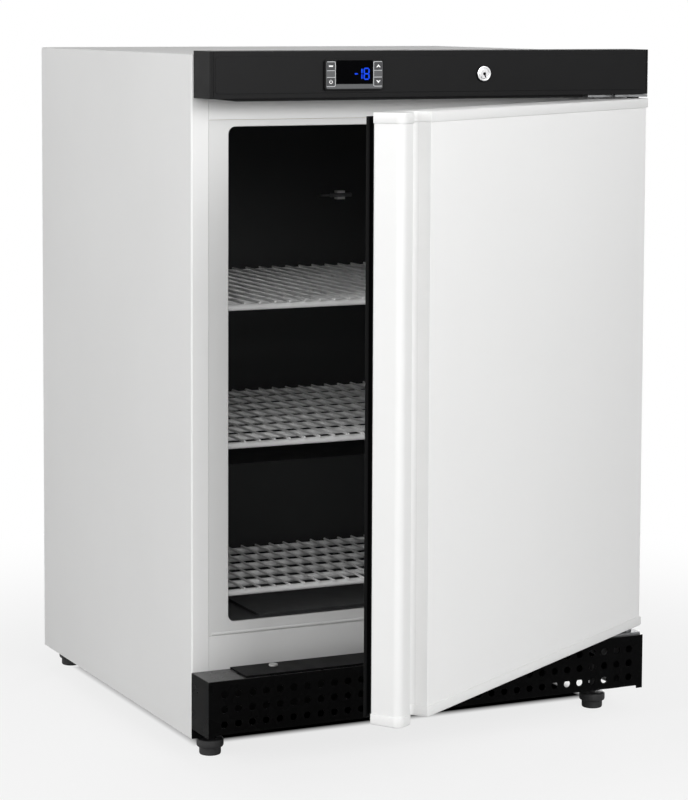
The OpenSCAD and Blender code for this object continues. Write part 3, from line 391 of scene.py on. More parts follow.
def wired_tube_tree():
    tree, new, link, given, result = grower("Tube with welded wires", (
        ("Route", "Geometry"), ("Tube diameter", "Float"), ("Tube sides", "Int"),
        ("Wire diameter", "Float"), ("Wire count", "Int"), ("First wire", "Vector"),
        ("Wire pitch", "Vector"), ("Wire turn", "Vector"), ("Wire length", "Float"),
        ("Finish", "Material")))
    route = new("GeometryNodeMeshToCurve")
    link(given["Route"], route.inputs["Mesh"])
    section = new("GeometryNodeCurvePrimitiveCircle")
    link(combined(tree, "MULTIPLY", given["Tube diameter"], 0.5), section.inputs["Radius"])
    link(given["Tube sides"], section.inputs["Resolution"])
    tube = new("GeometryNodeCurveToMesh")
    tube.inputs["Fill Caps"].default_value = True
    link(route.outputs["Curve"], tube.inputs["Curve"])
    link(section.outputs["Curve"], tube.inputs["Profile Curve"])
    wire = new("GeometryNodeMeshCylinder")
    wire.inputs["Vertices"].default_value = 10
    link(combined(tree, "MULTIPLY", given["Wire diameter"], 0.5), wire.inputs["Radius"])
    link(given["Wire length"], wire.inputs["Depth"])
    row = new("GeometryNodeMeshLine")
    link(given["Wire count"], row.inputs["Count"])
    link(given["First wire"], row.inputs["Start Location"])
    link(given["Wire pitch"], row.inputs["Offset"])
    wires = new("GeometryNodeInstanceOnPoints")
    link(row.outputs["Mesh"], wires.inputs["Points"])
    link(wire.outputs["Mesh"], wires.inputs["Instance"])
    link(given["Wire turn"], wires.inputs["Rotation"])
    both = new("GeometryNodeJoinGeometry")
    link(tube.outputs["Mesh"], both.inputs[0])
    link(wires.outputs["Instances"], both.inputs[0])
    plain = new("GeometryNodeRealizeInstances")
    link(both.outputs[0], plain.inputs[0])
    smooth = new("GeometryNodeSetShadeSmooth")
    link(plain.outputs[0], smooth.inputs["Geometry"])
    finish = new("GeometryNodeSetMaterial")
    link(smooth.outputs[0], finish.inputs["Geometry"])
    link(given["Finish"], finish.inputs["Material"])
    link(finish.outputs[0], result.inputs[0])
    return tree


def wired_tube(name, routes, finish, **sizes):
    mesh = bpy.data.meshes.new(name)
    spots, runs = [], []
    for route in routes:
        runs += [(len(spots) + i, len(spots) + i + 1) for i in range(len(route) - 1)]
        spots += route
    mesh.from_pydata(spots, runs, [])
    piece = stand(name, mesh)
    grow(piece, "Tube and wires", tube_tree, finish=finish, **sizes)
    piece.modifiers.new("Crisp ends", "EDGE_SPLIT").split_angle = math.radians(50)
    return piece


tube_tree = wired_tube_tree()
dipped_white = coated("white dip coat", (0.92, 0.92, 0.915), 0.3, 700, 0.00003, 0.04)
side_x, turn_x, outlet_x, front_y, bend = 242, 228, 214, 40, 10
wire_x, wire_front, wire_over, wire_lift = -216, 34, 4, 5.1
upper_z, mid_z, lower_z = 539.5, 371, 190
for node, height, depth, runs in (("evaporator_shelf_top", upper_z, 440, 8),
                                  ("evaporator_shelf_middle", mid_z, 440, 8),
                                  ("evaporator_shelf_bottom", lower_z, 270, 6)):
    step = (depth - front_y) / (runs - 1)
    loops = [(-turn_x if (i + s) % 2 == 0 else side_x, front_y + i * step, height)
             for i in range(runs) for s in (0, 1)]
    route = ([(-side_x, depth + bend, height), (-side_x, front_y, height)] + loops[1:-1]
             + [(-outlet_x, depth, height), (-outlet_x, depth + bend, height)])
    first = in_row([(wire_x, (wire_front + depth + wire_over) / 2, height + wire_lift)])[0]
    settle(wired_tube(node + "_made", [bent(in_row(route), bend / 1000)], dipped_white,
                      tube_diameter=0.008, tube_sides=18, wire_diameter=0.003, wire_count=23,
                      first_wire=first, wire_pitch=(0.02, 0, 0), wire_turn=(math.pi / 2, 0, 0),
                      wire_length=(depth + wire_over - wire_front) / 1000),
           node)
half_z, step_z, rear_y, step_y = 455.25, 320, 458, 288
links = [
    [(-outlet_x, rear_y - 8, upper_z), (-outlet_x, rear_y, upper_z), (-outlet_x, rear_y, half_z),
     (-side_x, rear_y, half_z), (-side_x, rear_y, mid_z), (-side_x, rear_y - 8, mid_z)],
    [(-outlet_x, rear_y - 8, mid_z), (-outlet_x, rear_y, mid_z),
     (-outlet_x, rear_y, step_z), (-outlet_x, step_y + 40, step_z),
     (-side_x, step_y + 40, step_z), (-side_x, step_y, step_z), (-side_x, step_y, lower_z),
     (-side_x, step_y - 8, lower_z)]]
settle(wired_tube("evaporator_links_made", [bent(in_row(route), 0.008) for route in links],
                  dipped_white, tube_diameter=0.008, tube_sides=18, wire_diameter=0.003,
                  wire_count=0, wire_length=0.1), "evaporator_links")


# Shelf saddles and probe clip: small white mouldings on the walls. The probe itself is a
# grey sleeve on a thin lead.
def moulded(name, colour, rough, grain=1500, depth=0.00001, specular=0.5, sink=0.00012):
    made = coated(name, colour, rough, grain, depth, specular=specular)
    tree, inputs, place = opened(made)
    return deepened(made, noise(tree, place, 28, 1), sink)


saddle_white = moulded("white moulding", (0.72, 0.72, 0.71), 0.4)
for node in ("shelf_holders", "probe_clip"):
    settle(rounded(node, saddle_white, 0.0005), node)
settle(rounded("temperature_probe", moulded("grey probe sleeve", (0.12, 0.12, 0.125), 0.45),
               0.0003), "temperature_probe")


# Plinth: one sheet of black powder coated steel, folded round the front, with three rows of
# punched vents and its lower edge raised between the corners. Its top has a slot for the lower
# hinge bracket and a hole for the plug.
def middle_of(node):
    low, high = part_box(node)
    return (low + high) / 2


def box_outline(x0, x1, y0, y1):
    return [(x0, y0), (x1, y0), (x1, y1), (x0, y1)]


def arc(x, y, radius, start, end, steps=8):
    turns = [math.radians(start + (end - start) * i / steps) for i in range(steps + 1)]
    return [(x + radius * math.cos(turn), y + radius * math.sin(turn)) for turn in turns]


def disc_outline(x, y, radius):
    return arc(x, y, radius, 0, 360, 36)[:-1]


def prism(tool, outline, axis, start, end, slot=0):
    order = {"x": (2, 0, 1), "y": (0, 2, 1), "z": (0, 1, 2)}[axis]
    rims = [[tool.verts.new([(u, w, along)[k] for k in order]) for u, w in outline]
            for along in (start, end)]
    count = len(outline)
    sides = [(rims[0][(i + 1) % count], rims[0][i], rims[1][i], rims[1][(i + 1) % count])
             for i in range(count)]
    faces = [tool.faces.new(face) for face in [rims[0], rims[1][::-1]] + sides]
    for face in faces:
        face.material_index = slot
        face.normal_update()
    bmesh.ops.triangulate(tool, faces=faces[:2], ngon_method="EAR_CLIP")


def drawn(tool, name, finish=None, crease=None):
    bmesh.ops.recalc_face_normals(tool, faces=tool.faces)
    mesh = bpy.data.meshes.new(name)
    tool.to_mesh(mesh)
    tool.free()
    if finish:
        mesh.materials.append(finish)
    if crease:
        mesh.shade_smooth()
        mesh.set_sharp_from_angle(angle=math.radians(crease))
    return stand(name, mesh)


def carved(piece, prisms):
    tool = bmesh.new()
    for cut in prisms:
        prism(tool, *cut)
    cutter = drawn(tool, "cutter")
    cut = piece.modifiers.new("Cut", "BOOLEAN")
    cut.solver = "EXACT"
    cut.object = cutter
    if len(piece.modifiers) > 1:
        piece.modifiers.move(len(piece.modifiers) - 1, len(piece.modifiers) - 2)
    converted(piece)
    bpy.data.objects.remove(cutter)
    return piece


def vent_tree():
    tree, new, link, given, result = grower("Punched vents", (
        ("Sheet", "Geometry"), ("Columns", "Int"), ("Rows", "Int"), ("Width", "Float"),
        ("Height", "Float"), ("Hole", "Float"), ("Middle", "Vector"), ("Finish", "Material")))
    field = new("GeometryNodeMeshGrid")
    for name, socket in (("Width", "Size X"), ("Height", "Size Y"),
                         ("Columns", "Vertices X"), ("Rows", "Vertices Y")):
        link(given[name], field.inputs[socket])
    punch = new("GeometryNodeMeshCylinder")
    punch.inputs["Vertices"].default_value = 28
    punch.inputs["Depth"].default_value = 0.008
    link(combined(tree, "MULTIPLY", given["Hole"], 0.5), punch.inputs["Radius"])
    punches = new("GeometryNodeInstanceOnPoints")
    link(field.outputs["Mesh"], punches.inputs["Points"])
    link(punch.outputs["Mesh"], punches.inputs["Instance"])
    stood = new("GeometryNodeTransform")
    stood.inputs["Rotation"].default_value = (math.pi / 2, 0, 0)
    link(punches.outputs["Instances"], stood.inputs["Geometry"])
    link(given["Middle"], stood.inputs["Translation"])
    plain = new("GeometryNodeRealizeInstances")
    link(stood.outputs[0], plain.inputs[0])
    cut = new("GeometryNodeMeshBoolean")
    cut.operation = "DIFFERENCE"
    cut.solver = "EXACT"
    link(given["Sheet"], cut.inputs["Mesh 1"])
    link(plain.outputs[0], cut.inputs["Mesh 2"])
    finish = new("GeometryNodeSetMaterial")
    link(cut.outputs["Mesh"], finish.inputs["Geometry"])
    link(given["Finish"], finish.inputs["Material"])
    link(finish.outputs[0], result.inputs[0])
    return tree


def plinth_coat_painted_sheen():
    made = coated("black powder coat", (0.002, 0.002, 0.0021), 0.28, 600, 0.00003, 0.1)
    tree, inputs, place = opened(made)
    # Painted sheen: the specular level is near zero on the plinth's front and high on its top, so
    # that only the top reflects.
    dull_front, bright_top, dull_to, bright_from = 0.04, 0.8, 0.1062, 0.1068
    split = tree.nodes.new("ShaderNodeSeparateXYZ")
    tree.links.new(place, split.inputs[0])
    tree.links.new(spread(tree, split.outputs["Z"], dull_front, bright_top, dull_to,
                          bright_from), inputs["Specular IOR Level"])
    return made


plinth_black = plinth_coat_painted_sheen()
(left, front, low), (right, back, high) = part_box("plinth_grille")
raised_low, corner_w = low + 0.0035, 0.009
sheet = bmesh.new()
corners = [sheet.verts.new(spot) for spot in (
    (left, front, low), (left + corner_w, front, low), (left + corner_w, front, raised_low),
    (right - corner_w, front, raised_low), (right - corner_w, front, low), (right, front, low),
    (right, front, high), (left, front, high),
    (left, back, low), (right, back, low), (right, back, high), (left, back, high))]
for ring in ((0, 1, 2, 3, 4, 5, 6, 7), (8, 0, 7, 11), (5, 9, 10, 6), (7, 6, 10, 11)):
    sheet.faces.new([corners[i] for i in ring])
plinth = drawn(sheet, "plinth_grille_made")
plinth.data.shade_smooth()
wall = plinth.modifiers.new("Sheet", "SOLIDIFY")
wall.thickness = 0.0012
wall.offset = -1
wall.use_even_offset = True
folds = plinth.modifiers.new("Folds", "BEVEL")
folds.width = 0.0008
folds.segments = 3
folds.angle_limit = math.radians(40)
columns, rows, vent_pitch, vent_z = 32, 3, 0.018, 0.072
grow(plinth, "Vents", vent_tree(), columns=columns, rows=rows, hole=0.009, finish=plinth_black,
     width=(columns - 1) * vent_pitch, height=(rows - 1) * vent_pitch,
     middle=(0, front + 0.001, vent_z))
plinth.modifiers.new("Even shading", "WEIGHTED_NORMAL").keep_sharp = True
bracket_slot = box_outline(0.2507, 0.2973, back - 0.0033, back + 0.001)
plug_hole = disc_outline(*middle_of("plinth_plug").xy, 0.00415)
settle(carved(plinth, [(hole, "z", high - 0.005, high + 0.002)
                       for hole in (bracket_slot, plug_hole)]), "plinth_grille")


# Plate and plug on top of the plinth: black plastic strip that closes it towards the door,
# and a pale plug pushed into a spare hole.
cover_black = moulded("black plinth plate", (0.004, 0.004, 0.0043), 0.45, 900, 0.00002, 0.05)
settle(rounded("plinth_cover", cover_black, 0.0005), "plinth_cover")
settle(rounded("plinth_plug", moulded("pale plug", (0.45, 0.45, 0.44), 0.4), 0.0006, 3),
       "plinth_plug")


# Fascia: black moulded cover over the front's upper rail. Its front field stands a little
# proud of a narrow border, a lip with a ramp at its left end hangs behind the door's top edge,
# and a fine groove shows where each end is joined on.
def ramp_lip(solid):
    lip_x, ramp_foot_x, ramp_head_x = -0.280, -0.262, -0.292
    ramp_foot_z, ramp_head_z = 0.7925, 0.7955
    for vert in solid.verts:
        if abs(vert.co.x - lip_x) < 1e-4 and vert.co.z < ramp_head_z:
            vert.co.x = ramp_foot_x if vert.co.z < ramp_foot_z else ramp_head_x


fascia_black = moulded("black fascia moulding", (0.0065, 0.0065, 0.0068), 0.45, 1100, 0.00002,
                       0.12)
fascia_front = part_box("fascia")[0].y
groove_x, groove_half, groove_deep = 0.2935, 0.0003, 0.0018
settle(carved(rounded("fascia", fascia_black, 0.0006, 3, reshape=ramp_lip), [
    (box_outline(x - groove_half, x + groove_half, fascia_front - 0.008,
                 fascia_front + groove_deep), "z", 0.79, 0.86)
    for x in (-groove_x, groove_x)]), "fascia")


# Controller: black housing behind the fascia, black bezel with a grey foil, four flat keys, a
# smoked window and a blue display. Pale print on the foil runs round the keys, open outwards.
def print_line(tool, path, width, front):
    last = len(path) - 1
    sides = []
    for i, spot in enumerate(path):
        before, after = path[max(i - 1, 0)], path[min(i + 1, last)]
        run_in = Vector((spot[0] - before[0], spot[1] - before[1]))
        run_out = Vector((after[0] - spot[0], after[1] - spot[1]))
        run_in = run_in.normalized() if run_in.length else run_out.normalized()
        run_out = run_out.normalized() if run_out.length else run_in
        bend = (run_in + run_out).normalized()
        out = Vector((-bend.y, bend.x)) * (width / 2 / max(bend.dot(run_in), 0.4))
        sides.append([tool.verts.new((spot[0] + s * out.x, front - lift, spot[1] + s * out.y))
                      for lift in (print_raise, 0) for s in (-1, 1)])
    rings = [(end[0], end[1], end[3], end[2]) for end in (sides[0], sides[-1])]
    for a, b in zip(sides, sides[1:]):
        rings += [(a[0], b[0], b[1], a[1]), (a[1], b[1], b[3], a[3]),
                  (a[2], b[2], b[0], a[0]), (a[3], b[3], b[2], a[2])]
    for ring in rings:
        tool.faces.new(ring).material_index = 1


def round_frame(x0, x1, z0, z1, radius):
    spots = []
    for cx, cz, start in ((x1 - radius, z1 - radius, 0), (x0 + radius, z1 - radius, 90),
                          (x0 + radius, z0 + radius, 180), (x1 - radius, z0 + radius, 270)):
        spots += arc(cx, cz, radius, start, start + 90, 5)
    return spots


def printed(piece, lines, plates, finishes):
    mesh = converted(piece).data
    tool = bmesh.new()
    tool.from_mesh(mesh)
    before = len(tool.faces)
    for line in lines:
        print_line(tool, *line)
    for outline, start, end, slot in plates:
        prism(tool, outline, "y", start, end, slot)
    bmesh.ops.recalc_face_normals(tool, faces=tool.faces[before:])
    tool.to_mesh(mesh)
    tool.free()
    for finish in finishes:
        mesh.materials.append(finish)
    return piece


bezel_black = moulded("black bezel", (0.004, 0.004, 0.0042), 0.4, 1300, 0.00002, 0.12)
foil_grey = coated("grey foil", (0.105, 0.107, 0.11), 0.45, 1300, 0.00001, 0.03, 0.25)
key_grey = moulded("grey key", (0.065, 0.066, 0.068), 0.5, 1800, 0.00002, 0.2)
ink = coated("pale print", (0.6, 0.61, 0.62), 0.5, 2500, 0.000005, 0.04, 0.2)
bold_ink = coated("bold print", (0.95, 0.95, 0.95), 0.5, 2500, 0.000005, 0.02, 0.2)
housing_black = moulded("black housing", (0.02, 0.02, 0.021), 0.45)
middle_x, _, middle_z = middle_of("controller_bezel")
bezel_front, key_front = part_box("controller_bezel")[0].y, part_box("key_upper_left")[0].y
print_raise, line_width, corner = 0.00005, 0.0007, 0.0016
settle(rounded("controller_body", housing_black, 0.0005), "controller_body")
lines = []
line_high, line_low = middle_z + 0.0155, middle_z - 0.0136
for side in (-1, 1):
    inner, outer = middle_x + side * 0.0252, middle_x + side * 0.0362
    turned_in = [(inner + side * corner * (1 - math.cos(t)), corner * (1 - math.sin(t)))
                 for t in [math.pi / 2 * i / 4 for i in range(5)]]
    paths = [[(outer, line_high)] + [(x, line_high - z) for x, z in turned_in[::-1]]
             + [(x, line_low + z) for x, z in turned_in] + [(outer, line_low)]]
    paths += [[(inner, middle_z + z), (outer, middle_z + z)] for z in (0.0051, -0.0029)]
    lines += [(path, line_width, bezel_front - print_raise) for path in paths]
foil_low, foil_high, foil_half = middle_z - 0.0164, middle_z + 0.0162, 0.037
foil = round_frame(middle_x - foil_half, middle_x + foil_half, foil_low, foil_high, 0.0022)
foil = foil[6:] + foil[:6]
pane_left, pane_right, pane_low = middle_x - 0.0245, middle_x + 0.0245, middle_z - 0.011
foil += [(pane_right, foil_high), (pane_right, pane_low), (pane_left, pane_low),
         (pane_left, foil_high)]
settle(printed(rounded("controller_bezel", bezel_black, 0.0005, 3), lines,
               [(foil, bezel_front - print_raise, bezel_front, 2)], [ink, foil_grey]),
       "controller_bezel")
window = moulded("smoked window", (0.0008, 0.0008, 0.0011), 0.2, 60, 0.000002, 0.02, 0.00001)
settle(rounded("display_window", window, 0.0003), "display_window")

ring_sign = arc(0, 0, 0.0019, 130, 410, 14)
signs = {
    "key_upper_left": [box_outline(-0.0027, 0.0027, -0.0009, 0.0009)],
    "key_lower_left": [box_outline(-0.00035, 0.00035, 0.0004, 0.0027)],
    "key_upper_right": [[(-0.0029, -0.0016), (-0.0012, -0.0016), (0, -0.0004), (0.0012, -0.0016),
                         (0.0029, -0.0016), (0, 0.0019)]],
    "key_lower_right": [[(-0.0029, 0.0016), (-0.0012, 0.0016), (0, 0.0004), (0.0012, 0.0016),
                         (0.0029, 0.0016), (0, -0.0019)]]}
for node, shapes in signs.items():
    x, _, z = middle_of(node)
    lines = []
    if node == "key_lower_left":
        lines = [([(x + u, z + w) for u, w in ring_sign], 0.0008, key_front)]
    plates = [([(x + u, z + w) for u, w in shape], key_front - print_raise, key_front, 1)
              for shape in shapes]
    settle(printed(rounded(node, key_grey, 0.0003), lines, plates, [bold_ink]), node)


def display_glow():
    made = coated("blue display segment", (0.002, 0.01, 0.15), 0.4, 900, 0.00001, 0.1, 0.1)
    tree, inputs, place = opened(made)
    tree.links.new(two_tones(tree, noise(tree, place, 350, 2), (0.0, 0.03, 0.7),
                             (0.004, 0.1, 1.0)), inputs["Emission Color"])
    inputs["Emission Strength"].default_value = 0.9
    return made


def segment(tool, start, end, width, gap, front, back):
    run, half = end - start, width / 2
    length = run.length - gap
    run.normalize()
    out = Vector((-run.y, run.x))
    prism(tool, [start + run * a + out * b for a, b in (
        (gap, 0), (gap + half, half), (length - half, half), (length, 0),
        (length - half, -half), (gap + half, -half))], "y", front, back)


tool = bmesh.new()
bar, gap, reach, glow_front = 0.0017, 0.0002, 0.0064, bezel_front + 0.00025
minus_w, one_x, left_x, right_x = 0.0049, 0.00985, 0.01285, 0.01915
strokes = [(0, 0, minus_w, 0)]
strokes += [(x, z, x, z + reach) for x in (one_x, left_x, right_x) for z in (0, -reach)]
strokes += [(left_x, z, right_x, z) for z in (0, reach, -reach)]
base = Vector((middle_x, middle_z + 0.0011))
for x0, z0, x1, z1 in strokes:
    segment(tool, base + Vector((x0, z0)), base + Vector((x1, z1)), bar, gap, glow_front,
            glow_front + 0.0004)
settle(drawn(tool, "display_digits_made", display_glow()), "display_digits")


# Lock: chrome plated cylinder lock through the fascia, with a stepped ring, a barrel with a
# keyway, and behind it a nut and the cam that turns down into the door.
def plated(name, colour, rough):
    made = coated(name, colour, rough, 300, 0.000004, 0.03)
    opened(made)[1]["Metallic"].default_value = 1.0
    return made


# Colours black the faces that lie within a ring round the lock's axis and between two depths.
def blackened(piece, nearest, furthest, front, back):
    piece.data.materials.append(flange_and_keyway_black)
    for face in piece.data.polygons:
        out = (Vector((lock_x, lock_z)) - face.center.xz).length
        if nearest < out < furthest and front < face.center.y < back:
            face.material_index = 1
    return piece


def turned_part(name, profile, centre, axis, finish, sides=48):
    tool = bmesh.new()
    rings = []
    for radius, along in profile:
        if radius < 1e-7:
            rings.append([tool.verts.new((0, 0, along))])
        else:
            rings.append([tool.verts.new((radius * math.cos(2 * math.pi * i / sides),
                                          radius * math.sin(2 * math.pi * i / sides), along))
                          for i in range(sides)])
    for low_ring, high_ring in zip(rings, rings[1:]):
        for i in range(sides):
            j = (i + 1) % sides
            if len(low_ring) == 1 and len(high_ring) > 1:
                tool.faces.new((low_ring[0], high_ring[i], high_ring[j]))
            elif len(high_ring) == 1 and len(low_ring) > 1:
                tool.faces.new((low_ring[i], low_ring[j], high_ring[0]))
            elif len(low_ring) > 1:
                tool.faces.new((low_ring[i], low_ring[j], high_ring[j], high_ring[i]))
    piece = drawn(tool, name, finish, 38)
    aim = {"z": Matrix.Identity(4), "y": Matrix.Rotation(-math.pi / 2, 4, "X")}[axis]
    piece.data.transform(Matrix.Translation(centre) @ aim)
    return piece


chrome = plated("bright chrome", (0.86, 0.86, 0.87), 0.28)
flange_and_keyway_black = moulded("black lock flange and keyway shade", (0.004, 0.004, 0.004), 0.45, 900, 0.00002, 0.1)
lock_x, _, lock_z = middle_of("lock_body")
ring = [(6.05, 25), (9.2, 25), (9.2, 0), (10, 0), (10, -1.5), (9.7, -1.9), (9.15, -1.9),
        (9.1, -2.1), (8.9, -2.4), (8.5, -2.5), (7.3, -2.5), (7.0, -2.4), (6.8, -2.1),
        (6.5, -2.1), (6.3, -2.4), (6.05, -2.45), (6.05, 25)]
body = turned_part("lock_body_made", [(r / 1000, a / 1000) for r, a in ring],
                   (lock_x, fascia_front, lock_z), "y", chrome)
# The outer flange of the lock's ring is coloured black.
settle(blackened(body, 0.00912, 0.02, fascia_front - 0.01, fascia_front + 0.0001), "lock_body")
tilt = math.radians(20)
down, across = Vector((math.sin(tilt), -math.cos(tilt))), Vector((math.cos(tilt), math.sin(tilt)))
keyhole = [(lock_x + down.x * a + across.x * b, lock_z + down.y * a + across.y * b)
           for a, b in arc(0, 0, 0.002, 27, 333, 20) + [(0.0047, -0.0009), (0.0047, 0.0009)]]
low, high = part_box("lock_barrel")
profile = [(0, high.y), (0.006, high.y), (0.006, low.y + 0.0003), (0.0057, low.y), (0, low.y)]
barrel = carved(turned_part("lock_barrel_made", profile, (lock_x, 0, lock_z), "y", chrome), [
    (keyhole, "y", low.y - 0.002, low.y + 0.0045)])
# Painted shade: the walls and the floor of the keyway are coloured black.
settle(blackened(barrel, -1, 0.005, low.y + 0.0002, low.y + 0.006), "lock_barrel")
for node in ("lock_nut", "lock_cam"):
    settle(rounded(node, zinc("zinc plated " + node, (0.6, 0.61, 0.6), 0.34, 90), 0.0004),
           node)


# Hinges: pressed steel brackets above and below the door, zinc plated, screwed to the front
# rails, with riveted pins that the door's bushes turn on.
# Painted shade: this zinc is much darker than the back panel's and the lock nut's, standing in for
# the shade under the fascia.
zinc_darkened_as_shade = zinc("zinc plated bracket", (0.24, 0.243, 0.247), 0.45, 110)
for node, radius in (("top_hinge_bracket", 0.0005), ("bottom_hinge_bracket", 0.0005),
                     ("hinge_pins", 0.0004), ("hinge_screws", 0.0005), ("foot_nuts", 0.0004)):
    settle(rounded(node, zinc_darkened_as_shade, radius), node)


# Feet: dark plastic pads with a round collar to grip, moulded on a threaded steel stud, so
# that they screw up and down in the nuts on the deck.
foot_dark = moulded("dark foot moulding", (0.03, 0.03, 0.031), 0.5, 700, 0.00005)
pad = [(0, 0), (11.4, 0), (12.5, 0.4), (13.1, 1.3), (13.25, 2.2), (13.25, 7.6), (13.6, 8.9),
       (14.6, 9.5), (15.7, 10.1), (16.4, 11.4), (16.5, 12.8), (16.5, 17.2), (16.3, 18.6),
       (15.6, 19.6), (14.4, 20), (4.0, 20)]
thread = [(3.55 if i % 2 else 4.0, 20.6 + 0.625 * i) for i in range(65)]
profile = [(r / 1000, z / 1000) for r, z in pad + thread + [(3.4, 61), (0, 61)]]
for node, x, y in (("foot_front_left", -0.268, 0.019), ("foot_front_right", 0.268, 0.019),
                   ("foot_rear_left", -0.268, 0.511), ("foot_rear_right", 0.268, 0.511)):
    settle(turned_part(node + "_made", profile, (x, y - origin_y, 0), "z", foot_dark), node)


# Door panel: one white pre-painted steel sheet, folded round the front and the hinge side,
# and along the free edge a white hollow section with the grip and its finger groove.
door_white = coated("door white", (0.85, 0.85, 0.845), 0.36, 520, 0.000008, 0.006, 0.4)
grip_white = moulded("white grip section", (0.775, 0.775, 0.77), 0.34, 900, 0.000005, 0.4,
                     0.00001)
settle(rounded("door_skin", door_white, 0.0006, 3), "door_skin")
settle(rounded("door_grip", grip_white, 0.0008, 3), "door_grip")


# End caps: white mouldings pushed over the door's ends. Their skirt follows grip, groove and
# panel, stands a little proud, and has a well rounded edge. They are drawn closed, in the
# cabinet's place, and then turned with the door.
def door_outline(proud, back_y):
    left, mouth, flank = -298.3 - proud, -274.3 + proud, -238.8 - proud
    front, web = -49.8 - proud, -27.8 - proud
    nose, lip, hollow, panel = 9 + proud, 4 + proud, 7 - proud, 0.6
    spots = arc(left + nose, front + nose, nose, 180, 270)
    spots += arc(mouth - lip, front + lip, lip, 270, 360)
    spots += arc(mouth + hollow, web - hollow, hollow, 180, 90)
    spots += arc(flank - hollow, web - hollow, hollow, 90, 0)
    spots += arc(flank + panel, front + panel, panel, 180, 270, 3)
    right = 297 + proud * 2.5 / 1.2
    spots += [(right, front), (right, back_y), (left, back_y)]
    return [(x / 1000, y / 1000) for x, y in spots]


# Each step says how far the cap stands proud, how far that is from its end, and how far its
# back edge is set in.
def end_cap(name, end_z, inward, finish):
    tool = bmesh.new()
    steps = [(0.1, 2.5, 0.6), (0.1, 11.8, 0.6), (0.25, 12, 0.5), (0.75, 12, 0.3),
             (1.03, 11.88, 0.1), (1.2, 11.55, 0), (1.2, 1.6, 0), (1.05, 0.85, 0.1),
             (0.7, 0.3, 0.3), (0.1, 0, 0.6)]
    rims = []
    for proud, height, set_in in steps:
        z = end_z + inward * height / 1000
        rims.append([tool.verts.new(door_turn @ Vector((x, y, z)))
                     for x, y in door_outline(proud, -13 - set_in)])
    for low_rim, high_rim in zip(rims, rims[1:]):
        for i in range(len(low_rim)):
            j = (i + 1) % len(low_rim)
            tool.faces.new((low_rim[i], low_rim[j], high_rim[j], high_rim[i]))
    lids = [tool.faces.new(rims[0]), tool.faces.new(rims[-1])]
    for lid in lids:
        lid.normal_update()
    bmesh.ops.triangulate(tool, faces=lids, ngon_method="EAR_CLIP")
    return drawn(tool, name, finish, 46)


pin_x, pin_y, door_angle = 0.2825, -0.038, 32.3
door_turn = (Matrix.Translation((pin_x, pin_y - origin_y, 0))
             @ Matrix.Rotation(math.radians(door_angle), 4, "Z")
             @ Matrix.Translation((-pin_x, -pin_y, 0)))
cap_white = moulded("white end cap", (0.765, 0.765, 0.76), 0.36, 1000, 0.000005, 0.4, 0.00001)
for node, end_z, inward in (("door_bottom_cap", 0.116, 1), ("door_top_cap", 0.789, -1)):
    bores = [(disc_outline(pin_x, pin_y - origin_y, 0.00605), "z", end_z - 0.004, end_z + 0.004)]
    rooms = [((-0.2982, 0.2971, -0.0138, -0.0128), inward * 0.0025, inward * 0.0121)]
    if inward < 0:
        rooms.append(((0.0538, 0.0834, -0.027, -0.02), -0.004, 0.004))
    for room, start, end in rooms:
        outline = [(door_turn @ Vector((x, y, 0))).xy for x, y in box_outline(*room)]
        bores.append((outline, "z", end_z + start, end_z + end))
    settle(carved(end_cap(node + "_made", end_z, inward, cap_white), bores), node)


# Inner pan: white polystyrene sheet on the door's back, thermoformed so that its middle stands
# up into the cabinet's opening, with a groove for the gasket round it.
pan_white = coated("white inner pan", (0.76, 0.76, 0.755), 0.36, 140, 0.00002, 0.012, 0.35)
settle(rounded("door_inner_pan", pan_white, 0.0007, 3), "door_inner_pan")


# Gasket: black magnetic seal, pressed into a groove round the pan. A foot, two bellows folds
# and a flat magnet chamber, mitred and welded at the four corners.
def rubber(name, colour, rough):
    return moulded(name, colour, rough, 500, 0.00003, 0.06)


gasket_black = rubber("black gasket", (0.003, 0.003, 0.0032), 0.5)
seal = [(0.4, -13), (0, -12.5), (0, -10.2), (0.8, -9.6), (3.2, -9.4), (4.2, -8.9), (4.5, -8.2),
        (4.0, -7.4), (4.9, -6.7), (4.1, -6.0), (3.2, -5.3), (0.9, -5.0), (0.1, -4.2),
        (0, -1.5), (0.5, -0.7), (1.4, -0.3), (7.2, -0.3), (7.6, -0.6), (8.0, -0.3),
        (12.0, -0.3), (12.4, -0.6), (12.8, -0.3), (18.6, -0.3), (19.5, -0.7), (20, -1.5),
        (19.9, -4.2), (19.1, -5.0), (16.8, -5.3), (15.9, -6.0), (15.1, -6.7), (16, -7.4),
        (15.5, -8.2), (15.8, -8.9), (16.8, -9.4), (19.2, -9.6), (20, -10.2), (20, -12.5),
        (19.6, -13)]
outer_x0, outer_x1, outer_z0, outer_z1 = -0.2945, 0.2825, 0.121, 0.784
tool = bmesh.new()
loops = []
for inward, y in seal:
    u, y = inward / 1000, y / 1000
    loops.append([tool.verts.new(door_turn @ Vector((x, y, z))) for x, z in (
        (outer_x0 + u, outer_z0 + u), (outer_x1 - u, outer_z0 + u),
        (outer_x1 - u, outer_z1 - u), (outer_x0 + u, outer_z1 - u))])
for i, loop in enumerate(loops):
    after = loops[(i + 1) % len(loops)]
    for j in range(4):
        k = (j + 1) % 4
        tool.faces.new((loop[j], loop[k], after[k], after[j]))
settle(drawn(tool, "door_gasket_made", gasket_black, 50), "door_gasket")
settle(rounded("hinge_bushes", moulded("black bush", (0.015, 0.015, 0.015), 0.4), 0.0003),
       "hinge_bushes")


